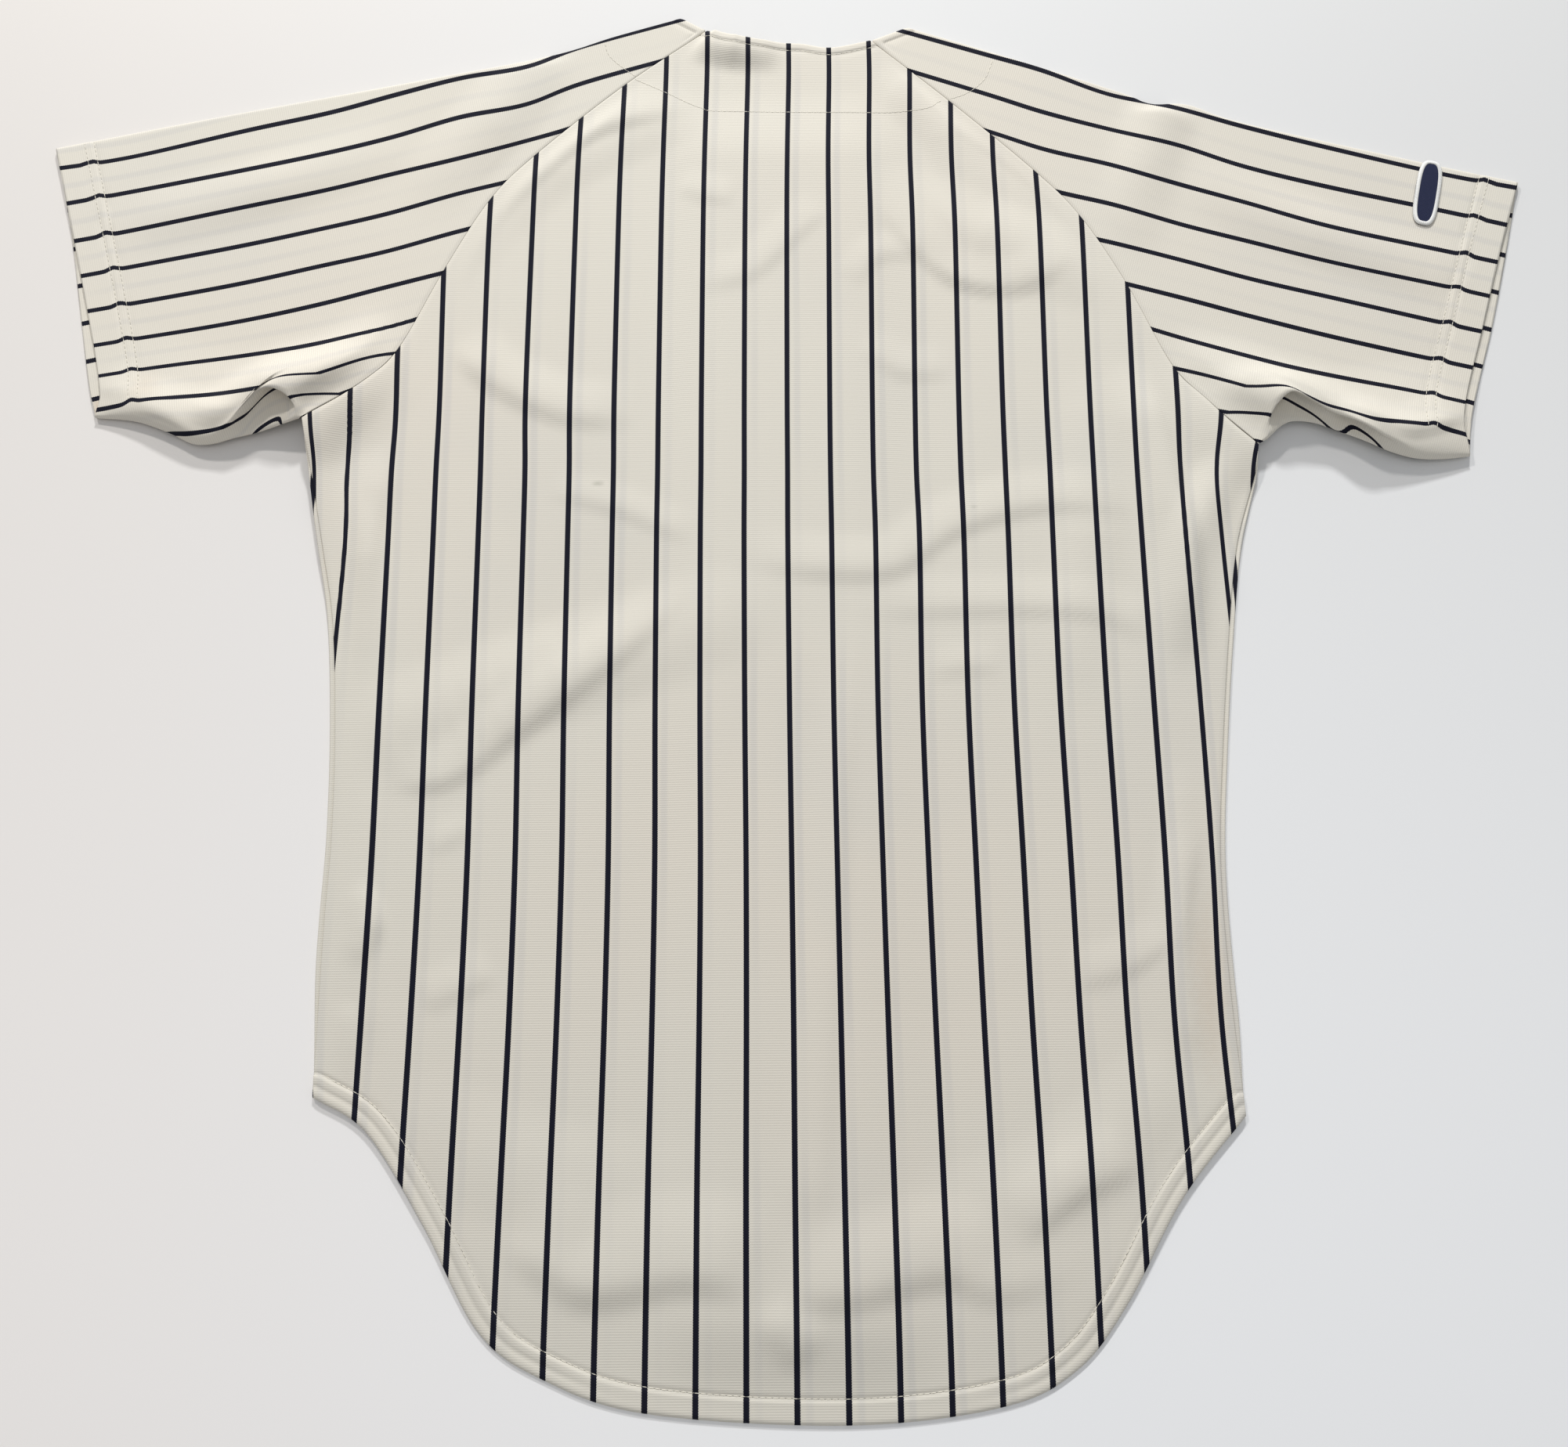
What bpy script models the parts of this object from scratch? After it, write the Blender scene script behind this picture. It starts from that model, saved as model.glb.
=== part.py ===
"""Pinstriped baseball jersey laid face down: back, two fronts, two raglan sleeves, patch and buttons.

Lengths are millimetres in the tables and metres in the meshes. In the tables X runs from the
photo's left to its right with 0 at the centre back, and Y runs from the lowest point of the
tail up to the neck. The finished jersey stands on Z = 0 with its origin under its middle.
"""

import math

import bmesh
import bpy
import numpy as np

MM = 0.001
WALL = 1.0  # thickness of the cloth
GAP = 0.3  # clear space between pieces that touch
SEAM_SHIFT = 0.4  # how far a sleeve starts from its seam line, so its sloping wall stays clear
UPPER = WALL + GAP  # underside of a panel that lies on one flat layer
FOLDED = 2 * WALL + GAP  # height of cloth folded once

SIDE_ROWS = 12
RAGLAN_ROWS = 10
BACK_COLUMNS = 20
FRONT_COLUMNS = 11
SLEEVE_SECTIONS = 24
NECK_STEPS = 2

# Middle of the finished jersey's box in the tables' frame.
CENTRE_X = -0.5
CENTRE_Y = 409.27

# Side seams from the hem corner up to the armpit.
SIDE = (
    # left x, left y, right x, right y
    (-251, 161, 236, 148),
    (-251, 246, 233, 215),
    (-250, 300, 233, 282),
    (-252, 360, 239, 344),
    (-257, 420, 247, 407),
    (-265, 465, 256, 463),
    (-275, 516, 269, 505),
    (-280, 543, 272, 524),
)

# Back raglan seams from the armpit up to the neck edge.
RAGLAN = (
    # left x, left y, right x, right y
    (-280, 543, 272, 524),
    (-261, 556, 260, 536),
    (-243, 572, 243, 556),
    (-229, 591, 227, 577),
    (-205, 643, 203, 632),
    (-179, 691, 178, 677),
    (-152, 722, 152, 708),
    (-99, 770, 102, 757),
    (-48, 809, 54, 801),
)

# Lower edge of the back, from the left hem corner round the tail to the right one.
HEM = (
    # x, y
    (-251, 161),
    (-222, 143),
    (-191, 98),
    (-160, 45),
    (-126, 22),
    (-74, 6),
    (27, 0),
    (104, 8),
    (142, 25),
    (169, 56),
    (201, 108),
    (236, 148),
)

# Neck edge of the back between the two raglan seams.
NECK = (
    # x, y
    (-48, 809),
    (-33, 802),
    (-12, 799.5),
    (10, 799),
    (29, 796),
    (54, 801),
)

# Neckline of each front, from its raglan seam down to the top of the placket.
NECKLINE = (
    # left x, left y, right x, right y
    (-72, 772, 76, 763),
    (-64, 741, 66, 735),
    (-44, 714, 45, 711),
    (-20, 701, 20, 701),
    (0, 700, 0, 700),
)

# Fold along the top of each sleeve, from the neck to the cuff.
SHOULDER = {
    "left": ((-65, 819), (-106, 806), (-147, 792), (-232, 774), (-355, 749), (-447, 729)),
    "right": (
        (78, 811),
        (134, 791),
        (206, 764),
        (226, 755),
        (249, 754),
        (282, 741),
        (379, 715),
        (446, 698),
    ),
}

# Cuff edges of the upper and the lower layer, from the underarm to the shoulder fold.
CUFF = {
    "left": (
        # upper x, upper y, lower x, lower y
        (-401, 554, -404, 548),
        (-405, 576, -411, 572),
        (-416, 618, -421, 619),
        (-429, 665, -431, 667),
        (-447, 729, -447, 729),
    ),
    "right": (
        (392, 529, 395, 517),
        (396, 551, 400, 545),
        (412, 598, 418, 598),
        (427, 644, 434, 653),
        (446, 698, 446, 698),
    ),
}

# Underarm edges of the upper and the lower layer, by the share of the way from armpit to cuff.
LIPS = {
    "left": (
        # share, upper x, upper y, lower x, lower y
        (0.00, -280, 543, -280, 543),
        (0.05, -285, 551, -286, 541),
        (0.12, -292, 558, -295, 539),
        (0.20, -302, 561, -304, 537),
        (0.28, -312, 554, -313, 535),
        (0.36, -321, 541, -322, 533),
        (0.45, -332, 533, -333, 530),
        (0.55, -344, 534, -345, 530),
        (0.66, -358, 542, -359, 537),
        (0.80, -378, 550, -380, 545),
        (1.00, -401, 554, -404, 548),
    ),
    "right": (
        (0.00, 272, 524, 272, 524),
        (0.05, 277, 533, 278, 527),
        (0.12, 283, 545, 285, 534),
        (0.20, 291, 551, 293, 536),
        (0.30, 303, 546, 306, 533),
        (0.40, 316, 539, 318, 528),
        (0.52, 331, 531, 333, 521),
        (0.64, 346, 523, 348, 516),
        (0.76, 361, 519, 363, 513),
        (0.88, 377, 523, 379, 514),
        (1.00, 392, 529, 395, 517),
    ),
}

# Soft ridges and troughs in the back, each a smooth line with a height at its start, middle and end.
BACK_FOLDS = (
    # name, x and y of start, of middle and of end, half width, heights
    ("diagonal across the waist", (-242, 352), (-130, 392), (-10, 432), 34, (1.2, 3.2, 0.6)),
    ("under the left armpit", (-262, 520), (-236, 470), (-228, 400), 22, (4.5, 4.0, 0.8)),
    ("beside the left side seam", (-236, 330), (-233, 250), (-228, 190), 17, (0.8, 2.6, 1.0)),
    ("under the right armpit", (258, 508), (236, 468), (222, 400), 24, (4.5, 3.6, 0.8)),
    ("beside the right side seam", (216, 330), (214, 250), (218, 180), 17, (0.8, 2.4, 1.0)),
    ("below the left raglan seam", (-196, 655), (-140, 712), (-60, 752), 24, (1.0, 3.6, 2.4)),
    ("at the left of the neck", (-52, 780), (-30, 785), (-8, 792), 20, (3.0, 4.2, 1.5)),
    ("below the right raglan seam", (64, 690), (120, 664), (190, 634), 30, (0.8, 3.2, 1.2)),
    ("across the right shoulder", (70, 770), (100, 735), (118, 690), 22, (1.8, 2.6, 0.8)),
    ("across the left hip", (-205, 150), (-120, 118), (-40, 108), 30, (0.8, 2.8, 0.8)),
    ("across the right hip", (70, 96), (140, 118), (200, 168), 28, (0.8, 3.0, 1.2)),
    ("down the right chest", (176, 560), (172, 470), (160, 380), 26, (1.0, 2.4, 0.6)),
)

# Ridges in the upper layer of each sleeve.
SLEEVE_FOLDS = {
    "left": (
        ("arch at the armpit", (-248, 577), (-300, 562), (-330, 540), 30, (5.0, 14.0, 2.0)),
        ("roll towards the armpit", (-236, 600), (-262, 586), (-300, 578), 26, (3.0, 6.5, 3.0)),
        ("roll near the cuff", (-335, 546), (-365, 553), (-396, 566), 20, (4.0, 4.0, 1.4)),
        ("across the upper sleeve", (-150, 790), (-180, 745), (-214, 700), 30, (2.6, 3.6, 0.8)),
        ("along the sleeve", (-240, 728), (-310, 702), (-395, 676), 26, (0.8, 2.8, 1.2)),
    ),
    "right": (
        ("arch at the armpit", (262, 552), (290, 553), (340, 528), 28, (5.0, 13.0, 3.0)),
        ("roll towards the armpit", (232, 580), (262, 574), (318, 556), 24, (3.0, 6.5, 3.0)),
        ("roll near the cuff", (330, 538), (358, 532), (388, 545), 20, (4.0, 4.2, 1.4)),
        ("across the upper sleeve", (236, 758), (220, 712), (206, 664), 26, (4.2, 3.4, 0.8)),
        ("along the sleeve", (250, 700), (320, 664), (400, 634), 26, (0.8, 2.8, 1.2)),
    ),
}

FOLD_TAPER = 0.35  # share of half a fold over which it fades at its end
FOLD_BLUNT = 0.25  # how full it still is at the very end

TAIL_SHORTER = 0.565  # drop of the front hem below the hem corner, against that of the back
SIDE_REACH = 3.0  # how far the fronts show outside the side seams of the back
REACH_STARTS = 0.12  # share of the side seam over which this grows from the hem corner
REACH_ENDS = 0.3  # share over which it fades towards the armpit
FRONT_RAGLAN = (0.897, 0.861)  # front raglan seam against the back one, across and upwards
PLACKET_HALF = 18.0

BUTTON_COUNT = 7
BUTTON_TOP_Y = 682.0
BUTTON_PITCH = 95.0
BUTTON_RADIUS = 7.2
BUTTON_THICKNESS = 2.0
BUTTON_SIDES = 16
BUTTON_BEVEL = 0.5
BUTTON_RIM = 1.8  # width of the raised rim
BUTTON_DISH = 0.5  # depth of the face inside the rim
HOLE_RADIUS = 0.9
HOLE_OFFSET = 1.6
HOLE_SIDES = 6

BUTTON_CLEAR = BUTTON_THICKNESS + GAP  # underside of the outer placket over the buttons
UNDERLAP = BUTTON_CLEAR + UPPER  # underside of the inner placket
OVERLAP_FOOT = 40.0  # where the outer placket starts to rise, left of the centre front
OVERLAP_SLOPE = 28.0
UNDERLAP_FOOT = 60.0  # where the inner placket is down again, right of it
UNDERLAP_SLOPE = 34.0
CLOSER_TO_PLACKET = 1.35  # columns of a front crowd towards its placket by this power
PLACKET_HILL = 3.9  # how much more the back rises over the plackets
HILL_FOOT = 87.0  # half width of that rise at its foot
HILL_SLOPE = 53.0
HILL_END_Y = 768.0

DRAPE_STARTS = 15.0  # how far past the hem of the fronts the back starts to come down
DRAPE_LENGTH = 46.0

PATCH_CENTRE = (389.5, 690.0)
PATCH_LENGTH = 45.0
PATCH_WIDTH = 15.0
PATCH_LEAN = math.radians(14)
PATCH_SIDES = 28
PATCH_SQUARENESS = 0.6  # 1 is an ellipse, and less is squarer

STILL_EDGE = 0.065  # share of the back, along its edges, where the folds die out
SEAM_STILL = 0.10  # share of a sleeve, along its seam and shoulder fold, where they do

POCKET_DEPTH = 13.0  # how far the cloth tucks in under an arch
POCKET_STARTS = 3.0  # height over the folded cloth at which an arch begins to open
POCKET_OPENS_OVER = 6.0
DEEP_SHARE = 0.4  # height of the deepest point of the tuck within the arch
LIP_TUCK = 2.0
UNDERARM_RUN = 6.0  # how far inside the upper edge the flat underarm ends

# Outer surface of the cloth from the fold of the lower edge to the top of the upper one. Flat, a
# point lies a share of the way between them. Open, it tucks in under the arch and stands a drop
# below its top, or with no drop at a share of the room under it.
UNDERARM = (
    # name, flat share, tuck, drop, room
    ("floor of the pocket", 0.2, LIP_TUCK, None, 0.0),
    ("deepest", 0.4, POCKET_DEPTH, None, DEEP_SHARE),
    ("under the lip", 0.6, LIP_TUCK, FOLDED, None),
    ("nose of the lip", 0.8, 0.0, 0.5 * FOLDED, None),
    ("top of the lip", 1.0, 0.5 * FOLDED, 0.0, None),
)

CLOTH = ("cream knit", (0.80, 0.78, 0.71), 0.85)
NAVY = ("navy embroidery", (0.02, 0.025, 0.06), 0.70)
PLASTIC = ("cream button", (0.82, 0.79, 0.70), 0.35)


def smooth(value):
    """0 below 0, 1 above 1 and a soft step between."""
    value = np.clip(value, 0.0, 1.0)
    return value * value * (3.0 - 2.0 * value)


def smooth_line(points, steps=12):
    """Points along a smooth line through the given ones."""
    knots = np.array(points, float)
    padded = np.vstack([2 * knots[0] - knots[1], knots, 2 * knots[-1] - knots[-2]])
    share = np.linspace(0, 1, steps, endpoint=False)[:, None]
    pieces = []
    for a, b, c, d in zip(padded, padded[1:], padded[2:], padded[3:]):
        bend = 2 * a - 5 * b + 4 * c - d
        twist = 3 * b - a - 3 * c + d
        pieces.append(0.5 * (2 * b + (c - a) * share + bend * share**2 + twist * share**3))
    return np.vstack(pieces + [knots[-1:]])


def by_length(line):
    """The line as a function of the share of its length."""
    steps = np.hypot(*np.diff(line, axis=0).T)
    share = np.concatenate([[0], np.cumsum(steps)]) / steps.sum()
    return lambda at: np.stack([np.interp(at, share, line[:, axis]) for axis in (0, 1)], axis=-1)


def chained(first, second, split):
    """Two lines as one function, the first up to the share given as split."""

    def place(at):
        before = first(np.clip(at / split, 0, 1))
        after = second(np.clip((at - split) / (1 - split), 0, 1))
        return np.where((at < split)[..., None], before, after)

    return place


def columns_of(table, first):
    """Two neighbouring columns of a table, as points."""
    return [row[first : first + 2] for row in table]


def patch_grid(left, right, bottom, top, across, up):
    """A grid of points that fills the outline given by four lines."""
    u = across[None, :, None]
    v = up[:, None, None]
    sides = (1 - u) * left(up)[:, None, :] + u * right(up)[:, None, :]
    ends = (1 - v) * bottom(across)[None, :, :] + v * top(across)[None, :, :]
    low = (1 - u) * bottom(np.zeros(1)) + u * bottom(np.ones(1))
    high = (1 - u) * top(np.zeros(1)) + u * top(np.ones(1))
    return sides + ends - (1 - v) * low - v * high


def fold_heights(points, folds):
    """What the folds add at each point."""
    total = np.zeros(points.shape[:-1])
    for _name, start, middle, end, half_width, heights in folds:
        line = smooth_line((start, middle, end), steps=10)
        share = np.linspace(0, 2, len(line))
        crest = np.interp(share, (0, 1, 2), heights)
        taper = smooth(np.minimum(share, 2 - share) / FOLD_TAPER + FOLD_BLUNT)
        away = np.linalg.norm(points[..., None, :] - line, axis=-1)
        near = np.clip(1 - (away / half_width) ** 2, 0, 1) ** 2
        total += (near * crest * taper).max(axis=-1)
    return total


def side_line(side, outset=0.0):
    """A side seam from the hem corner to the armpit, moved out along its middle."""
    column = 0 if side == "left" else 2
    sign = -1 if side == "left" else 1
    line = smooth_line(columns_of(SIDE, column))
    along = np.linspace(0, 1, len(line))
    line[:, 0] += sign * outset * smooth(along / REACH_STARTS) * smooth((1 - along) / REACH_ENDS)
    return by_length(line)


def raglan_line(side, scale=(1.0, 1.0)):
    """A raglan seam from the armpit to the neck, drawn in towards the armpit for the front."""
    line = smooth_line(columns_of(RAGLAN, 0 if side == "left" else 2))
    return by_length(line[0] + (line - line[0]) * scale)


def front_hem_line():
    """The shallower hem of the two fronts, from corner to corner."""
    line = smooth_line(HEM)
    corner = np.interp(line[:, 0], (HEM[0][0], HEM[-1][0]), (HEM[0][1], HEM[-1][1]))
    line[:, 1] = corner - (corner - line[:, 1]) * TAIL_SHORTER
    return line


def front_hem_at(x):
    line = front_hem_line()
    return np.interp(x, line[:, 0], line[:, 1])


def back_underside(grid, across, up):
    """Height of the underside of the back: over the fronts, down to the floor at the tail."""
    x = grid[..., 0]
    y = grid[..., 1]
    sides = smooth((HILL_FOOT - np.abs(x)) / HILL_SLOPE)
    over_plackets = sides * smooth((HILL_END_Y - y) / HILL_SLOPE)
    off_fronts = smooth((front_hem_at(x) - y - DRAPE_STARTS) / DRAPE_LENGTH)
    to_edge = np.minimum(across, 1 - across)[None, :]
    still = smooth(to_edge / STILL_EDGE) * smooth(up[:, None] / STILL_EDGE)
    layers = (UPPER + PLACKET_HILL * over_plackets) * (1 - off_fronts)
    return layers + fold_heights(grid, BACK_FOLDS) * still


def new_material(name, colour, roughness):
    material = bpy.data.materials.new(name)
    material.use_nodes = True
    shader = material.node_tree.nodes["Principled BSDF"]
    shader.inputs["Base Color"].default_value = (*colour, 1.0)
    shader.inputs["Roughness"].default_value = roughness
    shader.inputs["Metallic"].default_value = 0.0
    material.diffuse_color = (*colour, 1.0)
    return material


def surface(name, points, around=False):
    """An open surface through a grid of points in millimetres, closed round each row if asked."""
    rows, columns = points.shape[:2]
    mesh = bmesh.new()
    corners = [[mesh.verts.new(point * MM) for point in row] for row in points]
    last = columns if around else columns - 1
    for row in range(rows - 1):
        for column in range(last):
            after = (column + 1) % columns
            mesh.faces.new(
                (
                    corners[row][column],
                    corners[row][after],
                    corners[row + 1][after],
                    corners[row + 1][column],
                )
            )
    data = bpy.data.meshes.new(name)
    mesh.to_mesh(data)
    mesh.free()
    data.shade_smooth()
    data.set_sharp_from_angle(angle=math.radians(50))
    return bpy.data.objects.new(name, data)


def thicken(piece, side):
    """Gives the surface the thickness of the cloth, outwards with side 1 and inwards with -1."""
    shell = piece.modifiers.new("cloth", "SOLIDIFY")
    shell.thickness = WALL * MM
    shell.offset = side
    shell.use_even_offset = True
    shell.use_quality_normals = True
    return piece


def add_piece(piece, collection, material, parent):
    piece.data.materials.append(material)
    collection.objects.link(piece)
    piece.parent = parent
    return piece


def row_shares():
    """Shares of the way up a panel: rows beside the side seam, then rows beside the raglan seam."""
    split = SIDE_ROWS / (SIDE_ROWS + RAGLAN_ROWS)
    return split, np.linspace(0, 1, SIDE_ROWS + RAGLAN_ROWS + 1)


def make_back():
    split, up = row_shares()
    across = np.linspace(0, 1, BACK_COLUMNS + 1)
    grid = patch_grid(
        chained(side_line("left"), raglan_line("left"), split),
        chained(side_line("right"), raglan_line("right"), split),
        by_length(smooth_line(HEM)),
        by_length(smooth_line(NECK)),
        across,
        up,
    )
    height = back_underside(grid, across, up)
    return thicken(surface("back_panel", np.dstack([grid, height])), 1)


def front_outline(side):
    """Outer, inner, lower and upper edges of a front, each from its start at the side or the hem."""
    split, _up = row_shares()
    outer = chained(side_line(side, SIDE_REACH), raglan_line(side, FRONT_RAGLAN), split)
    sign = -1 if side == "left" else 1
    inner_x = -sign * PLACKET_HALF
    hem = front_hem_line()
    part = hem[hem[:, 0] * sign > -PLACKET_HALF]
    part = part[np.argsort(part[:, 0] * -sign)]
    bottom = by_length(np.vstack([part, (inner_x, front_hem_at(inner_x))]))
    neckline = smooth_line(columns_of(NECKLINE, 0 if side == "left" else 2))
    neckline[0] = raglan_line(side, FRONT_RAGLAN)(np.ones(1))[0]
    top = by_length(np.vstack([neckline, (inner_x, neckline[-1, 1])]))
    start = bottom(np.ones(1))[0]
    end = top(np.ones(1))[0]
    inner = by_length(np.array([start, end]))
    return outer, inner, bottom, top


def make_front(side):
    """One front: the wearer's left one reaches over the buttons, and the right one lies on it."""
    _split, up = row_shares()
    outer, inner, bottom, top = front_outline(side)
    width = np.linspace(0, 1, FRONT_COLUMNS + 1)
    across = 1 - (1 - width) ** CLOSER_TO_PLACKET
    grid = patch_grid(outer, inner, bottom, top, across, up)
    x = grid[..., 0]
    if side == "left":
        height = BUTTON_CLEAR * smooth((x + OVERLAP_FOOT) / OVERLAP_SLOPE)
    else:
        height = UNDERLAP * smooth((UNDERLAP_FOOT - x) / UNDERLAP_SLOPE)
        grid = grid[:, ::-1]
        height = height[:, ::-1]
    return thicken(surface("front_" + side, np.dstack([grid, height])), 1)


def lips_at(side, shares):
    """Underarm edges of the upper and the lower layer at each section of a sleeve."""
    line = smooth_line(LIPS[side])
    values = np.stack([np.interp(shares, line[:, 0], column) for column in line.T[1:]], axis=-1)
    return values[:, :2], values[:, 2:]


def sleeve_layer(side, seam, neck_edge, cuff_column, lip, shares):
    """A grid over one layer of a sleeve: rows from seam to cuff, columns from underarm to shoulder."""
    steps = RAGLAN_ROWS + NECK_STEPS
    inner = chained(seam, neck_edge, RAGLAN_ROWS / steps)
    cuff = by_length(smooth_line(columns_of(CUFF[side], cuff_column)))
    shoulder = by_length(smooth_line(SHOULDER[side]))

    def underarm(at):
        return np.stack([np.interp(at, shares, column) for column in lip.T], axis=-1)

    grid = patch_grid(underarm, shoulder, inner, cuff, np.linspace(0, 1, steps + 1), shares)
    run = np.gradient(grid[0], axis=0)
    way = np.stack([-run[:, 1], run[:, 0]], axis=-1)
    way *= np.sign((way * (grid[-1] - grid[0])).sum(axis=-1))[:, None]
    grid[0] += SEAM_SHIFT * way / np.linalg.norm(way, axis=-1)[:, None]
    return grid


def with_height(points, height):
    return np.concatenate([points, np.broadcast_to(height, points.shape[:-1])[..., None]], axis=-1)


def inwards(layer):
    """Unit steps into the sleeve at its underarm, one for each section."""
    step = layer[:, 1] - layer[:, 0]
    return step / np.linalg.norm(step, axis=-1)[:, None]


def underarm_points(upper, lower, top):
    """The outer surface round the underarm of each section, from the lower layer to the upper one.

    Where the upper edge stands high, the cloth tucks in under it. Elsewhere it runs down flat.
    """
    opened = smooth((top - FOLDED - POCKET_STARTS) / POCKET_OPENS_OVER)
    room = np.maximum(top - 2 * FOLDED, 0)
    half = 0.5 * FOLDED
    edge = upper[:, 0]
    start = lower[:, 0] + inwards(lower) * half
    end = edge + inwards(upper) * UNDERARM_RUN
    around = [with_height(start, 0.0), with_height(lower[:, 0], half), with_height(start, FOLDED)]
    for _name, share, tuck, drop, of_room in UNDERARM:
        flat = start + share * (end - start)
        flat_height = FOLDED + share * (top - FOLDED)
        tucked = edge + inwards(upper) * tuck
        open_height = top - drop if drop is not None else FOLDED + of_room * room
        place = flat + opened[:, None] * (tucked - flat)
        around.append(with_height(place, flat_height + opened * (open_height - flat_height)))
    return around


def make_sleeve(side):
    """A sleeve as one piece of cloth: upper layer, shoulder fold, lower layer and underarm."""
    shares = np.linspace(0, 1, SLEEVE_SECTIONS + 1)
    upper_lip, lower_lip = lips_at(side, shares)
    corner = np.array(SHOULDER[side][0], float)
    back_seam = raglan_line(side)
    front_seam = raglan_line(side, FRONT_RAGLAN)
    back_neck = by_length(np.array([back_seam(np.ones(1))[0], corner]))
    front_neck = by_length(np.array([front_seam(np.ones(1))[0], corner]))
    upper = sleeve_layer(side, back_seam, back_neck, 0, upper_lip, shares)
    lower = sleeve_layer(side, front_seam, front_neck, 2, lower_lip, shares)

    fold = upper[:, -1].copy()
    normal = np.array([fold[-1, 1] - fold[0, 1], fold[0, 0] - fold[-1, 0]])
    normal *= np.sign(normal[1]) / np.linalg.norm(normal)
    half = 0.5 * FOLDED
    upper[:, -1] -= normal * half
    lower[:, -1] -= normal * half

    to_fold = np.linspace(1, 0, upper.shape[1])
    still = smooth(shares / SEAM_STILL)[:, None] * smooth(to_fold / SEAM_STILL)[None, :]
    height = FOLDED + fold_heights(upper, SLEEVE_FOLDS[side]) * still
    ring = underarm_points(upper, lower, height[:, 0])
    ring += [with_height(upper[:, column], height[:, column]) for column in range(1, upper.shape[1])]
    ring += [with_height(fold, half)]
    ring += [with_height(lower[:, column], 0.0) for column in range(lower.shape[1] - 1, 0, -1)]
    points = np.stack(ring, axis=1)
    if side == "right":
        points = points[:, ::-1]
    return thicken(surface("sleeve_" + side, points, around=True), -1)


def make_patch():
    """A plain rounded patch on the right sleeve."""
    outline = bpy.data.curves.new("sleeve_patch", "CURVE")
    outline.dimensions = "2D"
    outline.fill_mode = "BOTH"
    outline.extrude = 0.5 * WALL * MM
    spline = outline.splines.new("POLY")
    spline.points.add(PATCH_SIDES - 1)
    spline.use_cyclic_u = True
    for index, point in enumerate(spline.points):
        angle = 2 * math.pi * index / PATCH_SIDES
        cosine = math.cos(angle)
        sine = math.sin(angle)
        across = 0.5 * PATCH_WIDTH * math.copysign(abs(cosine) ** PATCH_SQUARENESS, cosine)
        along = 0.5 * PATCH_LENGTH * math.copysign(abs(sine) ** PATCH_SQUARENESS, sine)
        point.co = (across * MM, along * MM, 0, 1)
    patch = bpy.data.objects.new("sleeve_patch", outline)
    patch.location = (PATCH_CENTRE[0] * MM, PATCH_CENTRE[1] * MM, (FOLDED + GAP + 0.5 * WALL) * MM)
    patch.rotation_euler = (0, 0, -PATCH_LEAN)
    return patch


def button_blank():
    """The turned shape of a button, face down, before its holes."""
    radius = BUTTON_RADIUS
    top = BUTTON_THICKNESS
    inner = radius - BUTTON_RIM
    profile = (
        # radius, height
        (0.0, top),
        (radius - BUTTON_BEVEL, top),
        (radius, top - BUTTON_BEVEL),
        (radius, BUTTON_BEVEL),
        (radius - BUTTON_BEVEL, 0.0),
        (inner, 0.0),
        (inner - BUTTON_DISH, BUTTON_DISH),
        (0.0, BUTTON_DISH),
    )
    mesh = bmesh.new()
    corners = [mesh.verts.new((across * MM, 0, height * MM)) for across, height in profile]
    for start, end in zip(corners, corners[1:]):
        mesh.edges.new((start, end))
    data = bpy.data.meshes.new("button_profile")
    mesh.to_mesh(data)
    mesh.free()
    blank = bpy.data.objects.new("button_blank", data)
    turn = blank.modifiers.new("turned", "SCREW")
    turn.steps = BUTTON_SIDES
    turn.render_steps = BUTTON_SIDES
    turn.use_merge_vertices = True
    turn.merge_threshold = 0.00001
    return blank


def hole_cutter():
    """Four pins that cut the holes of a button."""
    mesh = bmesh.new()
    for across in (-1, 1):
        for along in (-1, 1):
            made = bmesh.ops.create_cone(
                mesh,
                cap_ends=True,
                segments=HOLE_SIDES,
                radius1=HOLE_RADIUS * MM,
                radius2=HOLE_RADIUS * MM,
                depth=3 * BUTTON_THICKNESS * MM,
            )
            place = (across * HOLE_OFFSET * MM, along * HOLE_OFFSET * MM, 0.5 * BUTTON_THICKNESS * MM)
            bmesh.ops.translate(mesh, verts=made["verts"], vec=place)
    data = bpy.data.meshes.new("button_holes")
    mesh.to_mesh(data)
    mesh.free()
    cutter = bpy.data.objects.new("button_holes", data)
    cutter.display_type = "WIRE"
    cutter.hide_render = True
    return cutter


def make_buttons(collection, cutters, material, parent):
    """Seven like buttons down the placket, with one shared mesh."""
    blank = button_blank()
    cutter = hole_cutter()
    cutters.objects.link(cutter)
    collection.objects.link(blank)
    holes = blank.modifiers.new("holes", "BOOLEAN")
    holes.operation = "DIFFERENCE"
    holes.object = cutter
    bpy.context.view_layer.update()
    graph = bpy.context.evaluated_depsgraph_get()
    shape = bpy.data.meshes.new_from_object(blank.evaluated_get(graph))
    shape.name = "button"
    shape.materials.clear()
    shape.materials.append(material)
    shape.shade_smooth()
    shape.set_sharp_from_angle(angle=math.radians(35))
    bpy.data.objects.remove(blank)
    for index in range(BUTTON_COUNT):
        button = bpy.data.objects.new(f"button_{index + 1}", shape)
        button.location = (0, (BUTTON_TOP_Y - index * BUTTON_PITCH) * MM, 0)
        button.parent = parent
        collection.objects.link(button)


def clear_scene():
    for piece in list(bpy.data.objects):
        bpy.data.objects.remove(piece, do_unlink=True)


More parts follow.
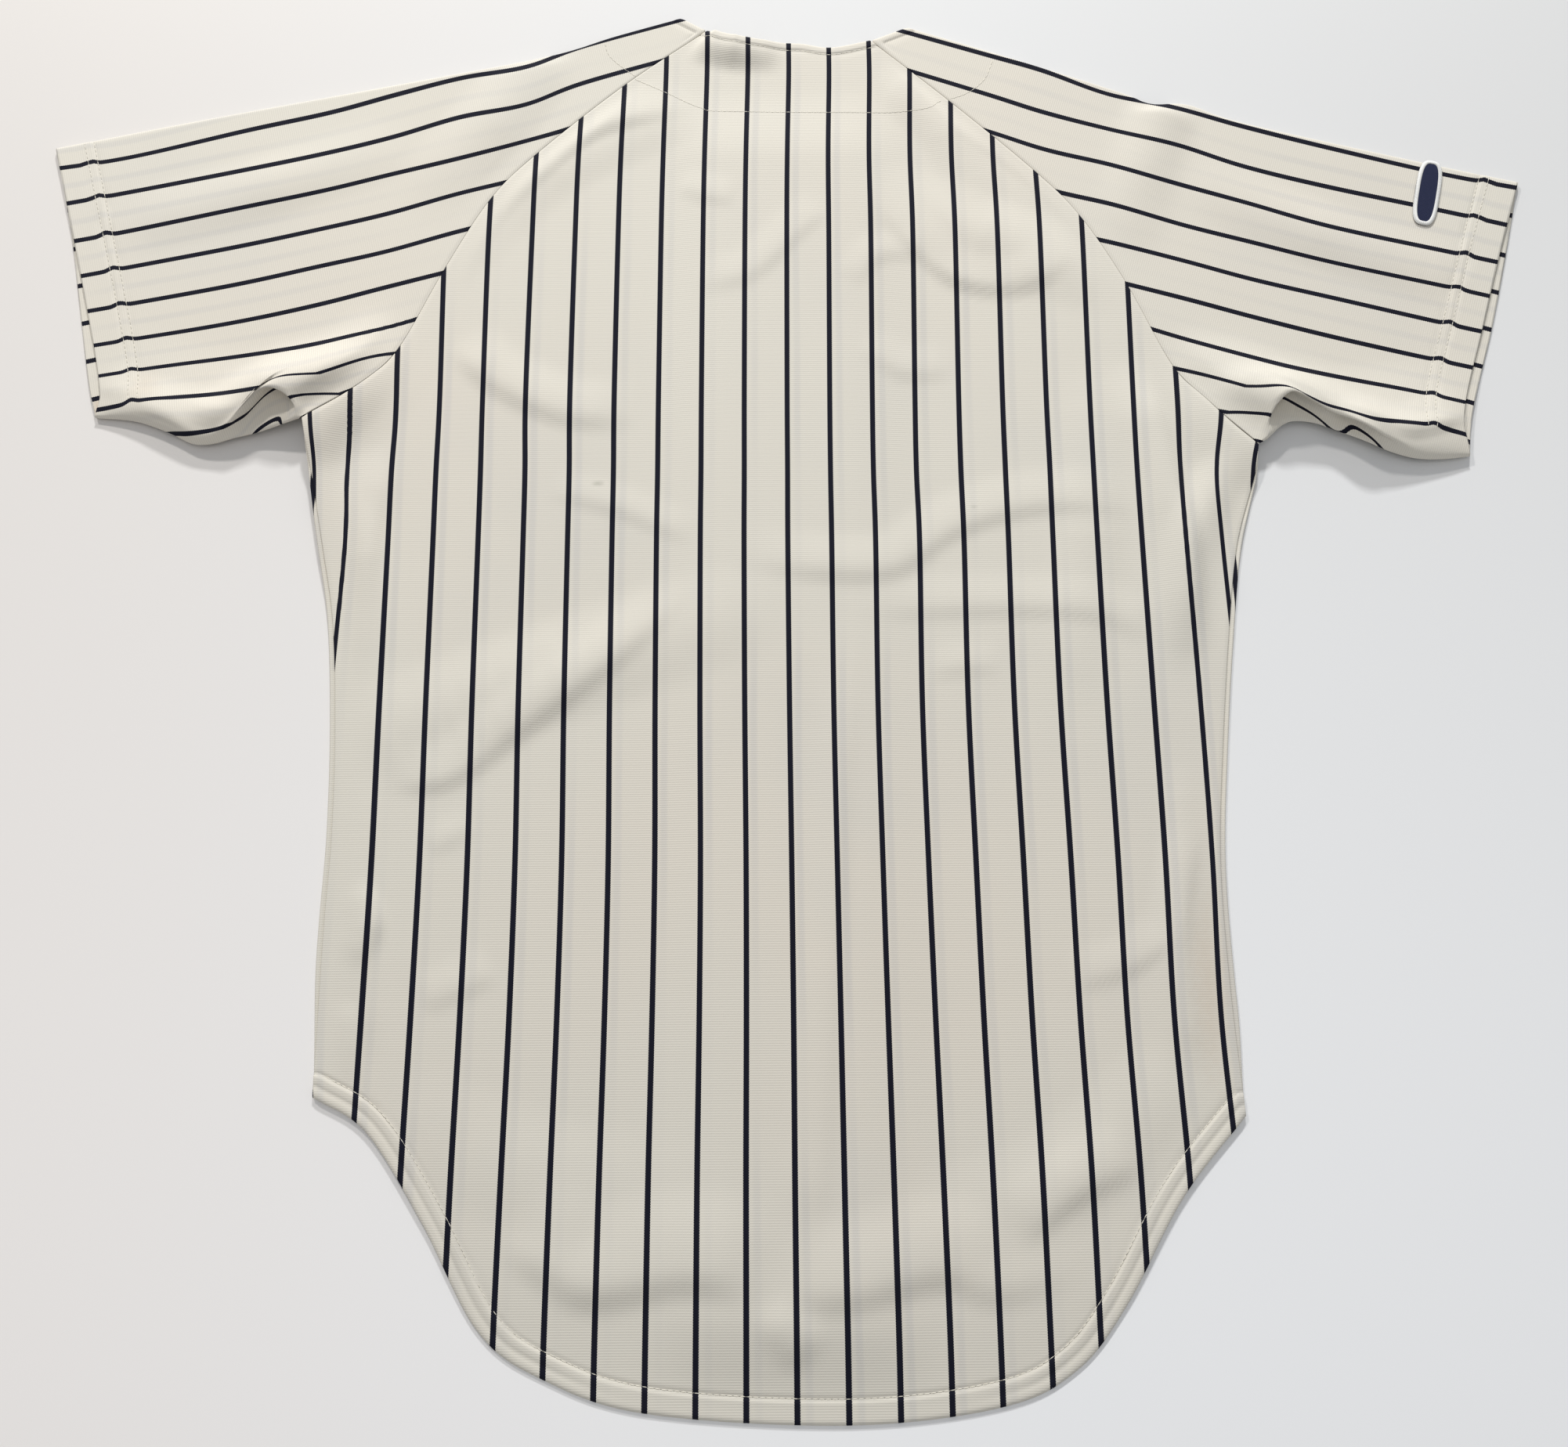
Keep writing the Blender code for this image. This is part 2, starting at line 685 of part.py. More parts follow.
def main():
    clear_scene()
    jersey = bpy.data.collections.new("baseball_jersey")
    cutters = bpy.data.collections.new("cutters")
    bpy.context.scene.collection.children.link(jersey)
    bpy.context.scene.collection.children.link(cutters)
    cloth = new_material(*CLOTH)
    origin = bpy.data.objects.new("jersey_origin", None)
    origin.location = (-CENTRE_X * MM, -CENTRE_Y * MM, 0)
    jersey.objects.link(origin)
    add_piece(make_back(), jersey, cloth, origin)
    for side in ("left", "right"):
        add_piece(make_front(side), jersey, cloth, origin)
        add_piece(make_sleeve(side), jersey, cloth, origin)
    add_piece(make_patch(), jersey, new_material(*NAVY), origin)
    make_buttons(jersey, cutters, new_material(*PLASTIC), origin)


main()
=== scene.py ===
"""Looks of a pinstriped baseball jersey laid face down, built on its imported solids.

Tables are in millimetres, as in the part's source: X runs from the photo's left to its right
with 0 at the centre back, and Y runs from the lowest point of the tail up to the neck. On the
flat cloth, a place is a number of pinstripes across and the same length along.
"""

import math

import bpy
import numpy as np
from mathutils import Matrix, Vector
from mathutils.bvhtree import BVHTree


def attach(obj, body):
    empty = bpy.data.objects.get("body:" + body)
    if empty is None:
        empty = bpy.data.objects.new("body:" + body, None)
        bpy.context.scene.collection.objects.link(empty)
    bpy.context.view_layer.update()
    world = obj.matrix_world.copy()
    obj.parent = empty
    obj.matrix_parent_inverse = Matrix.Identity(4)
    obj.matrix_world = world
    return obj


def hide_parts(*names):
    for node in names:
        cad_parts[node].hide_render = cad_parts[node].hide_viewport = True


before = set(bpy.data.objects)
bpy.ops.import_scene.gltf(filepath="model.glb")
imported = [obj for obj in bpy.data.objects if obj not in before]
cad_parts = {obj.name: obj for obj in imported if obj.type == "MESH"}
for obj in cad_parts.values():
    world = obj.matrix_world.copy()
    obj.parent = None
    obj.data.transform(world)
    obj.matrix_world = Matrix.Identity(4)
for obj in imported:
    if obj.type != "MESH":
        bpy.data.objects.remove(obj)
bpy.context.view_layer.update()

MM = 0.001
PITCH = 25.4  # from one pinstripe to the next
WALL = 1.0
GAP = 0.3
SEAM_GAP = 0.15  # the fine shells lie closer together at a seam than the solids do
UPPER = WALL + GAP
FOLDED = 2 * WALL + GAP
RIM = 0.3  # how far the rounded edge of a panel stands out

CENTRE_X = -0.5
CENTRE_Y = 409.27

SIDE_ROWS = 12
RAGLAN_ROWS = 10
NECK_STEPS = 2
BACK_COLUMNS = 150
BACK_ROWS = 200
FRONT_COLUMNS = 56
FRONT_ROWS = 120
SLEEVE_SECTIONS = 96
SLEEVE_FINER = 4  # columns of a sleeve for each one of its solid
SLEEVE_STARTS = 3  # first column of a sleeve's layers beyond its underarm
ARMPIT = SIDE_ROWS / (SIDE_ROWS + RAGLAN_ROWS)  # share of a panel's rows that lie below it

# Sizes over which the added columns and rows near an edge are spread.
BACK_WIDTH = 530.0
BACK_LENGTH = 790.0
FRONT_WIDTH = 222.0
FRONT_LENGTH = 700.0
SLEEVE_LENGTH = 300.0

SIDES = ("left", "right")
SIGN = {"left": -1, "right": 1}
COLUMN = {"left": 0, "right": 2}  # where each side starts in the rows of a table

# Side seams from the hem corner up to the armpit.
SIDE = (
    # left x, left y, right x, right y
    (-251, 161, 236, 148),
    (-251, 246, 233, 215),
    (-250, 300, 233, 282),
    (-252, 360, 239, 344),
    (-257, 420, 247, 407),
    (-265, 465, 256, 463),
    (-275, 516, 269, 505),
    (-280, 543, 272, 524),
)

# Back raglan seams from the armpit up to the neck edge.
RAGLAN = (
    # left x, left y, right x, right y
    (-280, 543, 272, 524),
    (-261, 556, 260, 536),
    (-243, 572, 243, 556),
    (-229, 591, 227, 577),
    (-205, 643, 203, 632),
    (-179, 691, 178, 677),
    (-152, 722, 152, 708),
    (-99, 770, 102, 757),
    (-48, 809, 54, 801),
)

# Lower edge of the back, from the left hem corner round the tail to the right one.
HEM = (
    # x, y
    *((-251, 161), (-222, 143), (-191, 98), (-160, 45), (-126, 22), (-74, 6)),
    *((27, 0), (104, 8), (142, 25), (169, 56), (201, 108), (236, 148)),
)

# Neck edge of the back between the two raglan seams.
NECK = ((-48, 809), (-33, 802), (-12, 799.5), (10, 799), (29, 796), (54, 801))

# Neckline of each front, from its raglan seam down to the top of the placket.
NECKLINE = (
    # left x, left y, right x, right y
    (-72, 772, 76, 763),
    (-64, 741, 66, 735),
    (-44, 714, 45, 711),
    (-20, 701, 20, 701),
    (0, 700, 0, 700),
)

# Fold along the top of each sleeve, from the neck to the cuff.
SHOULDER = {
    "left": ((-65, 819), (-106, 806), (-147, 792), (-232, 774), (-355, 749), (-447, 729)),
    "right": (
        *((78, 811), (134, 791), (206, 764), (226, 755)),
        *((249, 754), (282, 741), (379, 715), (446, 698)),
    ),
}

# Cuff edges of the upper and the lower layer, from the underarm to the shoulder fold.
CUFF = {
    "left": (
        # upper x, upper y, lower x, lower y
        (-401, 554, -404, 548),
        (-405, 576, -411, 572),
        (-416, 618, -421, 619),
        (-429, 665, -431, 667),
        (-447, 729, -447, 729),
    ),
    "right": (
        (392, 529, 395, 517),
        (396, 551, 400, 545),
        (412, 598, 418, 598),
        (427, 644, 434, 653),
        (446, 698, 446, 698),
    ),
}

# Underarm edges of the upper and the lower layer, by the share of the way from armpit to cuff.
LIPS = {
    "left": (
        # share, upper x, upper y, lower x, lower y
        (0.00, -280, 543, -280, 543),
        (0.05, -285, 551, -286, 541),
        (0.12, -292, 556, -295, 539),
        (0.20, -302, 558, -304, 537),
        (0.28, -312, 552, -313, 535),
        (0.36, -321, 541, -322, 533),
        (0.45, -332, 533, -333, 530),
        (0.55, -344, 534, -345, 530),
        (0.66, -358, 542, -359, 537),
        (0.80, -378, 550, -380, 545),
        (1.00, -401, 554, -404, 548),
    ),
    "right": (
        (0.00, 272, 524, 272, 524),
        (0.05, 277, 533, 278, 527),
        (0.12, 283, 545, 285, 534),
        (0.20, 291, 551, 293, 538),
        (0.30, 303, 546, 306, 537),
        (0.40, 316, 539, 318, 532),
        (0.52, 331, 531, 333, 526),
        (0.64, 346, 523, 348, 519),
        (0.76, 361, 519, 363, 515),
        (0.88, 377, 523, 379, 515),
        (1.00, 392, 529, 395, 517),
    ),
}

# Soft ridges and troughs in the back, each a smooth line with a height at its start, middle and end.
BACK_FOLDS = (
    # name, x and y of start, of middle and of end, half width, heights
    ("diagonal across the waist", (-242, 352), (-130, 392), (-10, 432), 34, (1.2, 3.2, 0.6)),
    ("under the left armpit", (-262, 500), (-244, 460), (-236, 400), 20, (1.0, 1.8, 0.5)),
    ("beside the left side seam", (-236, 330), (-233, 250), (-228, 190), 17, (0.8, 2.6, 1.0)),
    ("under the right armpit", (258, 508), (236, 468), (222, 400), 24, (4.5, 3.6, 0.8)),
    ("beside the right side seam", (216, 330), (214, 250), (218, 180), 17, (0.8, 2.4, 1.0)),
    ("below the left raglan seam", (-196, 655), (-140, 712), (-60, 752), 24, (0.6, 1.8, 1.2)),
    ("below the right raglan seam", (64, 690), (120, 664), (190, 634), 30, (0.8, 3.2, 1.2)),
    ("across the right shoulder", (70, 770), (100, 735), (118, 690), 22, (1.8, 2.6, 0.8)),
    ("across the left hip", (-205, 150), (-120, 118), (-40, 108), 34, (0.5, 1.5, 0.5)),
    ("across the right hip", (70, 96), (140, 118), (200, 168), 30, (0.5, 2.0, 1.0)),
    ("down the right chest", (176, 560), (172, 470), (160, 380), 26, (1.0, 2.4, 0.6)),
)

# Ridges in the upper layer of each sleeve.
SLEEVE_FOLDS = {
    "left": (
        ("arch at the armpit", (-252, 574), (-300, 560), (-332, 538), 28, (4.0, 13.5, 2.0)),
        ("roll towards the armpit", (-240, 594), (-268, 580), (-300, 572), 26, (2.0, 3.0, 2.0)),
        ("roll near the cuff", (-335, 546), (-365, 553), (-396, 566), 20, (4.0, 4.0, 1.4)),
        ("across the upper sleeve", (-150, 790), (-180, 745), (-214, 700), 30, (2.6, 3.6, 0.8)),
        ("along the sleeve", (-240, 728), (-310, 702), (-395, 676), 26, (0.8, 2.8, 1.2)),
        ("rolled lip", (-322, 543), (-348, 541), (-398, 560), 15, (2.4, 3.6, 1.4)),
    ),
    "right": (
        ("arch at the armpit", (262, 552), (290, 552), (340, 528), 26, (4.0, 13.0, 3.0)),
        ("roll towards the armpit", (236, 576), (264, 570), (316, 554), 26, (2.0, 3.0, 2.0)),
        ("roll near the cuff", (330, 538), (358, 532), (388, 545), 20, (4.0, 4.2, 1.4)),
        ("across the upper sleeve", (236, 758), (220, 712), (206, 664), 26, (4.2, 3.4, 0.8)),
        ("along the sleeve", (250, 700), (320, 664), (400, 634), 26, (0.8, 2.8, 1.2)),
        ("rolled lip", (322, 540), (352, 526), (390, 534), 15, (2.4, 4.4, 2.4)),
    ),
}

# Finer creases of the back. Each rises slowly on the left of its line and drops off on the right.
BACK_CREASES = (
    # name, line, width of its steep side, heights at its start, middle and end
    ("raglan l", ((-197, 619), (-179, 668), (-149, 706), (-111, 737), (-49, 753)), 11, (1, 2.2, 1.5)),
    ("raglan r", ((96, 742), (143, 706), (178, 663), (205, 605)), 8, (0.6, 1.0, 0.7)),
    ("chest l", ((-201, 593), (-172, 565), (-130, 545), (-82, 542)), 11, (1.6, 1.9, 0.8)),
    ("blade l", ((-69, 697), (-48, 688), (-29, 684)), 7, (0.3, 0.8, 0.3)),
    ("blade c", ((-57, 627), (-20, 635), (10, 664), (30, 681)), 8, (0.5, 0.9, 0.4)),
    ("blade m", ((41, 626), (57, 647), (86, 649)), 7, (0.4, 0.8, 0.4)),
    ("blade r", ((52, 688), (79, 651), (106, 630), (144, 628), (180, 652)), 9, (1.0, 2.0, 0.9)),
    ("middle r", ((40, 589), (68, 571), (102, 573)), 8, (0.5, 0.9, 0.4)),
    ("ribs l", ((-142, 499), (-97, 486), (-52, 464)), 7, (0.5, 0.9, 0.5)),
    ("ribs", ((-43, 459), (15, 447), (60, 448), (98, 473), (151, 487), (218, 481)), 10, (1, 1.5, 1)),
    ("waist r", ((33, 422), (112, 425), (174, 421), (204, 404)), 9, (0.8, 1.0, 0.7)),
    ("waist l", ((-227, 326), (-188, 328), (-150, 355), (-91, 401), (-50, 444)), 10, (1.4, 2.1, 1)),
    ("below the waist", ((76, 387), (98, 390), (121, 389)), 7, (0.3, 0.7, 0.3)),
    ("placket", ((15, 82), (18, 128), (25, 224), (32, 327), (37, 417)), 9, (0.7, 1.4, 1.0)),
    ("arm l", ((-240, 382), (-236, 460), (-228, 530)), 11, (1.0, 2.2, 1.2)),
    ("side l", ((-233, 225), (-221, 251), (-230, 277)), 8, (1.2, 2.2, 1.2)),
    ("hip l", ((-229, 165), (-230, 188), (-232, 212)), 7, (1.2, 1.8, 1.0)),
    ("small l", ((-198, 289), (-184, 295), (-170, 304)), 6, (0.3, 0.7, 0.3)),
    ("hip crease l", ((-199, 205), (-176, 213), (-154, 224)), 8, (0.5, 1.0, 0.5)),
    ("arm r", ((235, 388), (232, 462), (223, 520), (209, 585)), 12, (2.2, 4.0, 2.8)),
    ("side r", ((215, 166), (211, 240), (226, 308)), 8, (1.0, 1.6, 0.8)),
    ("hip crease r", ((146, 214), (181, 223), (207, 241)), 8, (0.6, 1.0, 0.6)),
    ("tail l", ((-157, 91), (-129, 72), (-104, 60), (-53, 67), (-13, 60)), 18, (1.2, 3.0, 2.4)),
    ("tail r", ((-13, 60), (27, 58), (74, 68), (106, 60), (164, 75)), 16, (2.0, 2.4, 0.9)),
    ("tail middle", ((-21, 54), (-1, 31), (17, 48)), 15, (1.2, 2.4, 1.2)),
    ("tail corner", ((115, 84), (148, 108), (185, 123)), 11, (1.0, 1.7, 1.0)),
)
# The neck edge of the back stands up at its left, with the same columns as the creases.
NECK_ROLL = (("neck", ((-60, 796), (-32, 788), (4, 786)), 17, (3.0, 6.5, 1.0)),)

GENTLE_SIDE = 2.4  # how much wider the other side of a crease is
STEEPEST = 0.45  # place of the steepest part of a crease, as a share of its width
CREASE_TAPER = 0.45
CREASE_DEPTH = 1.3

# Pinstripes of the back: how far each one lies from its even place, by height.
WANDER_STRIPES = (-11, -10, -9, -6, -3, 0, 3, 6, 9, 10)
WANDER = (
    # y, then the shift of each of these stripes
    (800, 6.0, 5.0, 4.0, 3.6, 3.2, 2.9, 1.5, 1.0, 1.0, 1.0),
    (774, 5.0, 4.0, 3.0, 3.0, 3.0, 2.8, 1.5, 1.0, 1.0, 1.0),
    (720, 1.0, 0.5, 0.0, 0.5, 1.9, 1.5, 0.2, 0.0, 0.6, 0.8),
    (665, -3.0, -2.8, -2.5, -0.2, 1.3, 0.8, 0.5, 0.8, 1.2, 1.2),
    (560, 3.0, 0.3, 0.3, -0.6, 1.1, 0.2, -1.2, -0.6, -0.5, -0.6),
    (512, 7.2, -0.7, -0.3, 0.7, 1.2, 0.1, -1.7, -0.7, -1.3, -6.1),
    (465, 9.0, 0.8, 0.1, 1.1, 1.1, -0.1, -1.1, -1.1, -1.0, -6.1),
    (372, 9.0, -2.0, 0.7, 1.7, 1.6, 0.1, -2.3, -1.8, 0.0, -4.0),
    (284, 9.0, -1.0, 1.5, 3.1, 2.6, 0.6, -1.5, -0.6, 0.0, -4.0),
    (200, 7.0, -1.0, 0.9, 2.9, 2.3, 0.9, -0.3, 0.0, -1.8, -5.0),
    (120, 7.0, 5.5, 0.0, 1.6, 1.4, 0.9, 1.2, 1.7, 0.8, 0.0),
    (45, 4.0, 2.0, 0.5, 0.6, 1.1, 1.1, 2.2, 1.7, 1.2, 1.0),
    (0, 4.0, 2.0, 0.5, 0.6, 1.1, 1.1, 2.2, 1.7, 1.2, 1.0),
)
# The left front's outermost pinstripe runs into its side seam: by how much, in pinstripes, from
# how far out, and over what width.
FRONT_SKEW = 0.75
SKEW_STARTS = 60.0
SKEW_WIDTH = 180.0

# Pinstripes of the sleeves: y of each one, from the shoulder fold down, at some places along.
SLEEVE_STRIPES = {
    "left": (
        # x, y of stripes 1 to 9
        (-450, 713, 687, 660, 635, 611, 588, 567, 549, 531),
        (-400, 721.5, 697, 669.8, 645, 620.1, 596.2, 575.3, 556.5, 538),
        (-330, 739.7, 711.9, 686, 659.5, 633.9, 608.6, 585.7, 561.5, 537),
        (-280, 751.8, 723.4, 697.5, 671.2, 645.9, 620.1, 593.9, 570, 549),
        (-240, 764.2, 734.3, 708.3, 681.4, 655.6, 631.5, 603.3, 585.2, 566),
        (-200, 775.8, 747.9, 718.7, 694.2, 668, 642.4, 617, 592, 567),
        (-160, 783.5, 756.4, 730.4, 705, 679, 653, 628, 602, 577),
        (-125, 797.9, 771.5, 741.7, 716, 690, 665, 640, 614, 589),
        (-60, 818, 792, 766, 740, 715, 690, 664, 639, 613),
    ),
    "right": (
        (450, 692, 664, 637, 612, 588, 563, 538, 513, 490),
        (400, 703.2, 677.3, 649.6, 625.5, 600.2, 574.5, 549.7, 532, 512),
        (330, 722.7, 694.8, 667.4, 643.1, 619, 592.6, 566.6, 540.4, 520),
        (280, 737.8, 709.3, 684.3, 657.7, 632.4, 607.1, 579.5, 557.1, 538),
        (240, 751.2, 724.9, 697.3, 669.5, 645.1, 619.6, 592.1, 571.2, 548),
        (200, 760.9, 735.9, 711, 683.4, 657, 631.3, 606, 582, 558),
        (160, 778.2, 748.1, 722, 694.6, 668, 643, 618, 594, 570),
        (125, 790.1, 761.4, 735.2, 710, 684, 659, 634, 609, 585),
        (60, 812, 785, 759, 734, 708, 683, 658, 633, 608),
    ),
}

FOLD_TAPER = 0.35
FOLD_BLUNT = 0.25
TAIL_SHORTER = 0.565
SIDE_REACH = 3.0
REACH_STARTS = 0.12
REACH_ENDS = 0.3
FRONT_RAGLAN = (0.897, 0.861)
PLACKET_HALF = 18.0
BUTTON_CLEAR = 2.3
UNDERLAP = BUTTON_CLEAR + UPPER
OVERLAP_FOOT = 40.0
OVERLAP_SLOPE = 28.0
UNDERLAP_FOOT = 60.0
UNDERLAP_SLOPE = 34.0
CLOSER_TO_PLACKET = 1.35
PLACKET_HILL = 3.9
HILL_FOOT = 87.0
HILL_SLOPE = 53.0
HILL_END_Y = 768.0
DRAPE_STARTS = 15.0
DRAPE_LENGTH = 46.0
STILL_EDGE = 0.065
SEAM_STILL = 0.10
POCKET_DEPTH = 12.0
POCKET_STARTS = 4.0
POCKET_OPENS_OVER = 8.0
DEEP_SHARE = 0.4
LIP_TUCK = 2.0
UNDERARM_RUN = 6.0
EVEN_OUT = 6  # rounds of averaging along the sleeve
STRIPES_EVEN_OUT = 2.5  # how far below the fold the lower layer's pinstripes are even, in pitches

# Where all the layers together stand up off the table, with the same columns as the creases.
LIFTS = (
    ("left", ((-440, 560), (-350, 528), (-284, 530), (-244, 552), (-214, 602)), 40, (1.5, 6.0, 1.5)),
    ("left flank", ((-258, 410), (-264, 480), (-266, 530), (-242, 564), (-212, 620)), 26, (0.8, 6, 1)),
    ("right", ((216, 596), (240, 538), (280, 511), (345, 510), (440, 526)), 40, (1.2, 7.0, 4.5)),
)
LIFT_GENTLE = 1.3

# Outer surface of the cloth from the fold of the lower edge to the top of the upper one, as in
# the part's source.
UNDERARM = (
    # name, flat share, tuck, drop, room
    ("floor of the pocket", 0.2, LIP_TUCK, None, 0.0),
    ("deepest", 0.4, POCKET_DEPTH, None, DEEP_SHARE),
    ("under the lip", 0.6, LIP_TUCK, FOLDED, None),
    ("nose of the lip", 0.8, 0.0, 0.5 * FOLDED, None),
    ("top of the lip", 1.0, 0.5 * FOLDED, 0.0, None),
)
UNDERARM_POINTS = 3 + len(UNDERARM)

# Sewn edges: how far from the edge the stitches run, and how much the turned cloth stands up.
HEM_STITCH = 12.0
HEM_GROOVE = 5.5
CUFF_STITCHES = (17.5, 23.0)
NECK_STITCH = 5.0
TURNED = 0.6
NECK_TURNED = 0.7 * TURNED
CUFF_TURNED = 0.6 * TURNED
GROOVE = 0.5
NECK_GROOVE = 0.8 * GROOVE
SEAM_DROP = 0.35
SEAM_WIDTH = 2.4
CURVE_STARTS = 80.0  # from the centre, where the hem begins to curve
CURVE_WIDTH = 60.0
FRONT_LIP = 1.25  # how much the front's edge stands up beside the side seam
JOG = 0.075  # how far a pinstripe steps aside between the two cuff stitches, in pinstripes

CAMERA_SPOT = (-2.55, -264.95, 843.5)
CAMERA_TILT = math.radians(14.43)
CAMERA_ROLL = math.radians(-0.42)
CAMERA_LENS = 35.964
SEEN_BODY = 3.3  # height at which the table of the back's pinstripes was read
SEEN_SLEEVE = 2.6


def smooth(value):
    """0 below 0, 1 above 1 and a soft step between."""
    value = np.clip(value, 0.0, 1.0)
    return value * value * (3.0 - 2.0 * value)


def bump(value, centre, width):
    """A soft bump of height 1."""
    return np.exp(-(((value - centre) / width) ** 2))


def smooth_line(points, steps=12):
    """Points along a smooth line through the given ones."""
    knots = np.array(points, float)
    padded = np.vstack([2 * knots[0] - knots[1], knots, 2 * knots[-1] - knots[-2]])
    share = np.linspace(0, 1, steps, endpoint=False)[:, None]
    pieces = []
    for a, b, c, d in zip(padded, padded[1:], padded[2:], padded[3:]):
        bend = 2 * a - 5 * b + 4 * c - d
        twist = 3 * b - a - 3 * c + d
        pieces.append(0.5 * (2 * b + (c - a) * share + bend * share**2 + twist * share**3))
    return np.vstack(pieces + [knots[-1:]])


def by_length(line):
    """The line as a function of the share of its length."""
    steps = np.hypot(*np.diff(line, axis=0).T)
    share = np.concatenate([[0], np.cumsum(steps)]) / steps.sum()
    return lambda at: np.stack([np.interp(at, share, line[:, axis]) for axis in (0, 1)], axis=-1)


def chained(first, second, split):
    """Two lines as one function, the first up to the share given as split."""

    def place(at):
        before = first(np.clip(at / split, 0, 1))
        after = second(np.clip((at - split) / (1 - split), 0, 1))
        return np.where((at < split)[..., None], before, after)

    return place


def columns_of(table, first):
    """Two neighbouring columns of a table, as points."""
    return [row[first : first + 2] for row in table]


def patch_grid(left, right, bottom, top, across, up):
    """A grid of points that fills the outline given by four lines."""
    u = across[None, :, None]
    v = up[:, None, None]
    sides = (1 - u) * left(up)[:, None, :] + u * right(up)[:, None, :]
    ends = (1 - v) * bottom(across)[None, :, :] + v * top(across)[None, :, :]
    low = (1 - u) * bottom(np.zeros(1)) + u * bottom(np.ones(1))
    high = (1 - u) * top(np.zeros(1)) + u * top(np.ones(1))
    return sides + ends - (1 - v) * low - v * high


def finer_at_ends(count, length, at_start, at_end):
    """Even shares of a length, with added ones close to either end, given in millimetres."""
    even = np.linspace(0, 1, count + 1)
    added = [np.array(at_start) / length, 1 - np.array(at_end) / length]
    return np.unique(np.concatenate([even] + added))


def fold_heights(points, folds):
    """What the folds add at each point."""
    total = np.zeros(points.shape[:-1])
    for _name, start, middle, end, half_width, heights in folds:
        line = smooth_line((start, middle, end), steps=10)
        share = np.linspace(0, 2, len(line))
        crest = np.interp(share, (0, 1, 2), heights)
        taper = smooth(np.minimum(share, 2 - share) / FOLD_TAPER + FOLD_BLUNT)
        away = np.linalg.norm(points[..., None, :] - line, axis=-1)
        near = np.clip(1 - (away / half_width) ** 2, 0, 1) ** 2
        total += (near * crest * taper).max(axis=-1)
    return total


def crease_heights(points, creases, gentle=GENTLE_SIDE):
    """What the finer creases add at each point."""
    total = np.zeros(points.shape[:-1])
    for _name, line, steep, heights in creases:
        path = smooth_line(line, steps=8)
        way = np.gradient(path, axis=0)
        step = np.linalg.norm(way, axis=1)
        way /= step[:, None]
        offsets = points[..., None, :] - path
        nearest = np.linalg.norm(offsets, axis=-1).argmin(axis=-1)
        offset = np.take_along_axis(offsets, nearest[..., None, None], axis=-2)[..., 0, :]
        to_right = offset[..., 0] * way[nearest, 1] - offset[..., 1] * way[nearest, 0]
        ahead = (offset * way[nearest]).sum(axis=-1)
        within = np.clip(ahead, -0.5 * step[nearest], 0.5 * step[nearest])
        away = np.hypot(to_right, ahead - within)
        from_crest = np.where(to_right < 0, -away, away) + STEEPEST * steep
        width = np.where(from_crest > 0, steep, gentle * steep)
        share = np.clip(2 * (nearest + within / step[nearest]) / (len(path) - 1), 0, 2)
        crest = np.interp(share, (0, 1, 2), heights) * smooth(np.minimum(share, 2 - share) / CREASE_TAPER)
        total += np.clip(1 - (from_crest / width) ** 2, 0, 1) ** 2 * crest
    return total


def from_line(points, line):
    """Distance of each point from a line."""
    start = line[:-1]
    step = line[1:] - start
    flat = points.reshape(-1, 2)
    to = flat[:, None, :] - start
    share = np.clip((to * step).sum(axis=-1) / (step**2).sum(axis=-1), 0, 1)
    away = np.linalg.norm(to - share[..., None] * step, axis=-1)
    return away.min(axis=1).reshape(points.shape[:-1])


def seen_at(points, level):
    """Where the camera's line of sight to each point meets a flat plane at a height."""
    eye = np.array([CAMERA_SPOT[0] + CENTRE_X, CAMERA_SPOT[1] + CENTRE_Y])
    reach = (CAMERA_SPOT[2] - level) / (CAMERA_SPOT[2] - points[..., 2:])
    return eye + (points[..., :2] - eye) * reach


def between(value, edges):
    """Place of a value among rising edges that differ from point to point, with even steps of 1."""
    place = np.zeros(value.shape)
    last = len(edges) - 2
    for index in range(last + 1):
        step = (value - edges[index]) / (edges[index + 1] - edges[index])
        lowest = -np.inf if index == 0 else 0.0
        highest = np.inf if index == last else 1.0
        place += np.clip(step, lowest, highest)
    return place


def back_stripes(points):
    """Number of the pinstripe at each point of the back."""
    seen = seen_at(points, SEEN_BODY)
    rows = smooth_line(WANDER[::-1], steps=8)
    edges = []
    for column, stripe in enumerate(WANDER_STRIPES):
        shift = np.interp(seen[..., 1], rows[:, 0], rows[:, column + 1])
        edges.append(stripe * PITCH + shift)
    place = between(seen[..., 0], edges)
    count = len(WANDER_STRIPES)
    inside = np.interp(place, np.arange(count), WANDER_STRIPES)
    before = np.minimum(place, 0) * (WANDER_STRIPES[1] - WANDER_STRIPES[0])
    after = np.maximum(place - count + 1, 0) * (WANDER_STRIPES[-1] - WANDER_STRIPES[-2])
    return inside + before + after


def sleeve_stripes(points, side):
    """Number of the pinstripe at each point of a sleeve's upper layer, from its shoulder down."""
    seen = seen_at(points, SEEN_SLEEVE)
    table = SLEEVE_STRIPES[side]
    rows = smooth_line(table if side == "left" else table[::-1], steps=8)
    stripes = [-np.interp(seen[..., 0], rows[:, 0], rows[:, column]) for column in range(1, 10)]
    return 1 + between(-seen[..., 1], stripes)


def side_line(side, outset=0.0):
    """A side seam from the hem corner to the armpit, moved out along its middle."""
    line = smooth_line(columns_of(SIDE, COLUMN[side]))
    along = np.linspace(0, 1, len(line))
    line[:, 0] += SIGN[side] * outset * smooth(along / REACH_STARTS) * smooth((1 - along) / REACH_ENDS)
    return by_length(line)


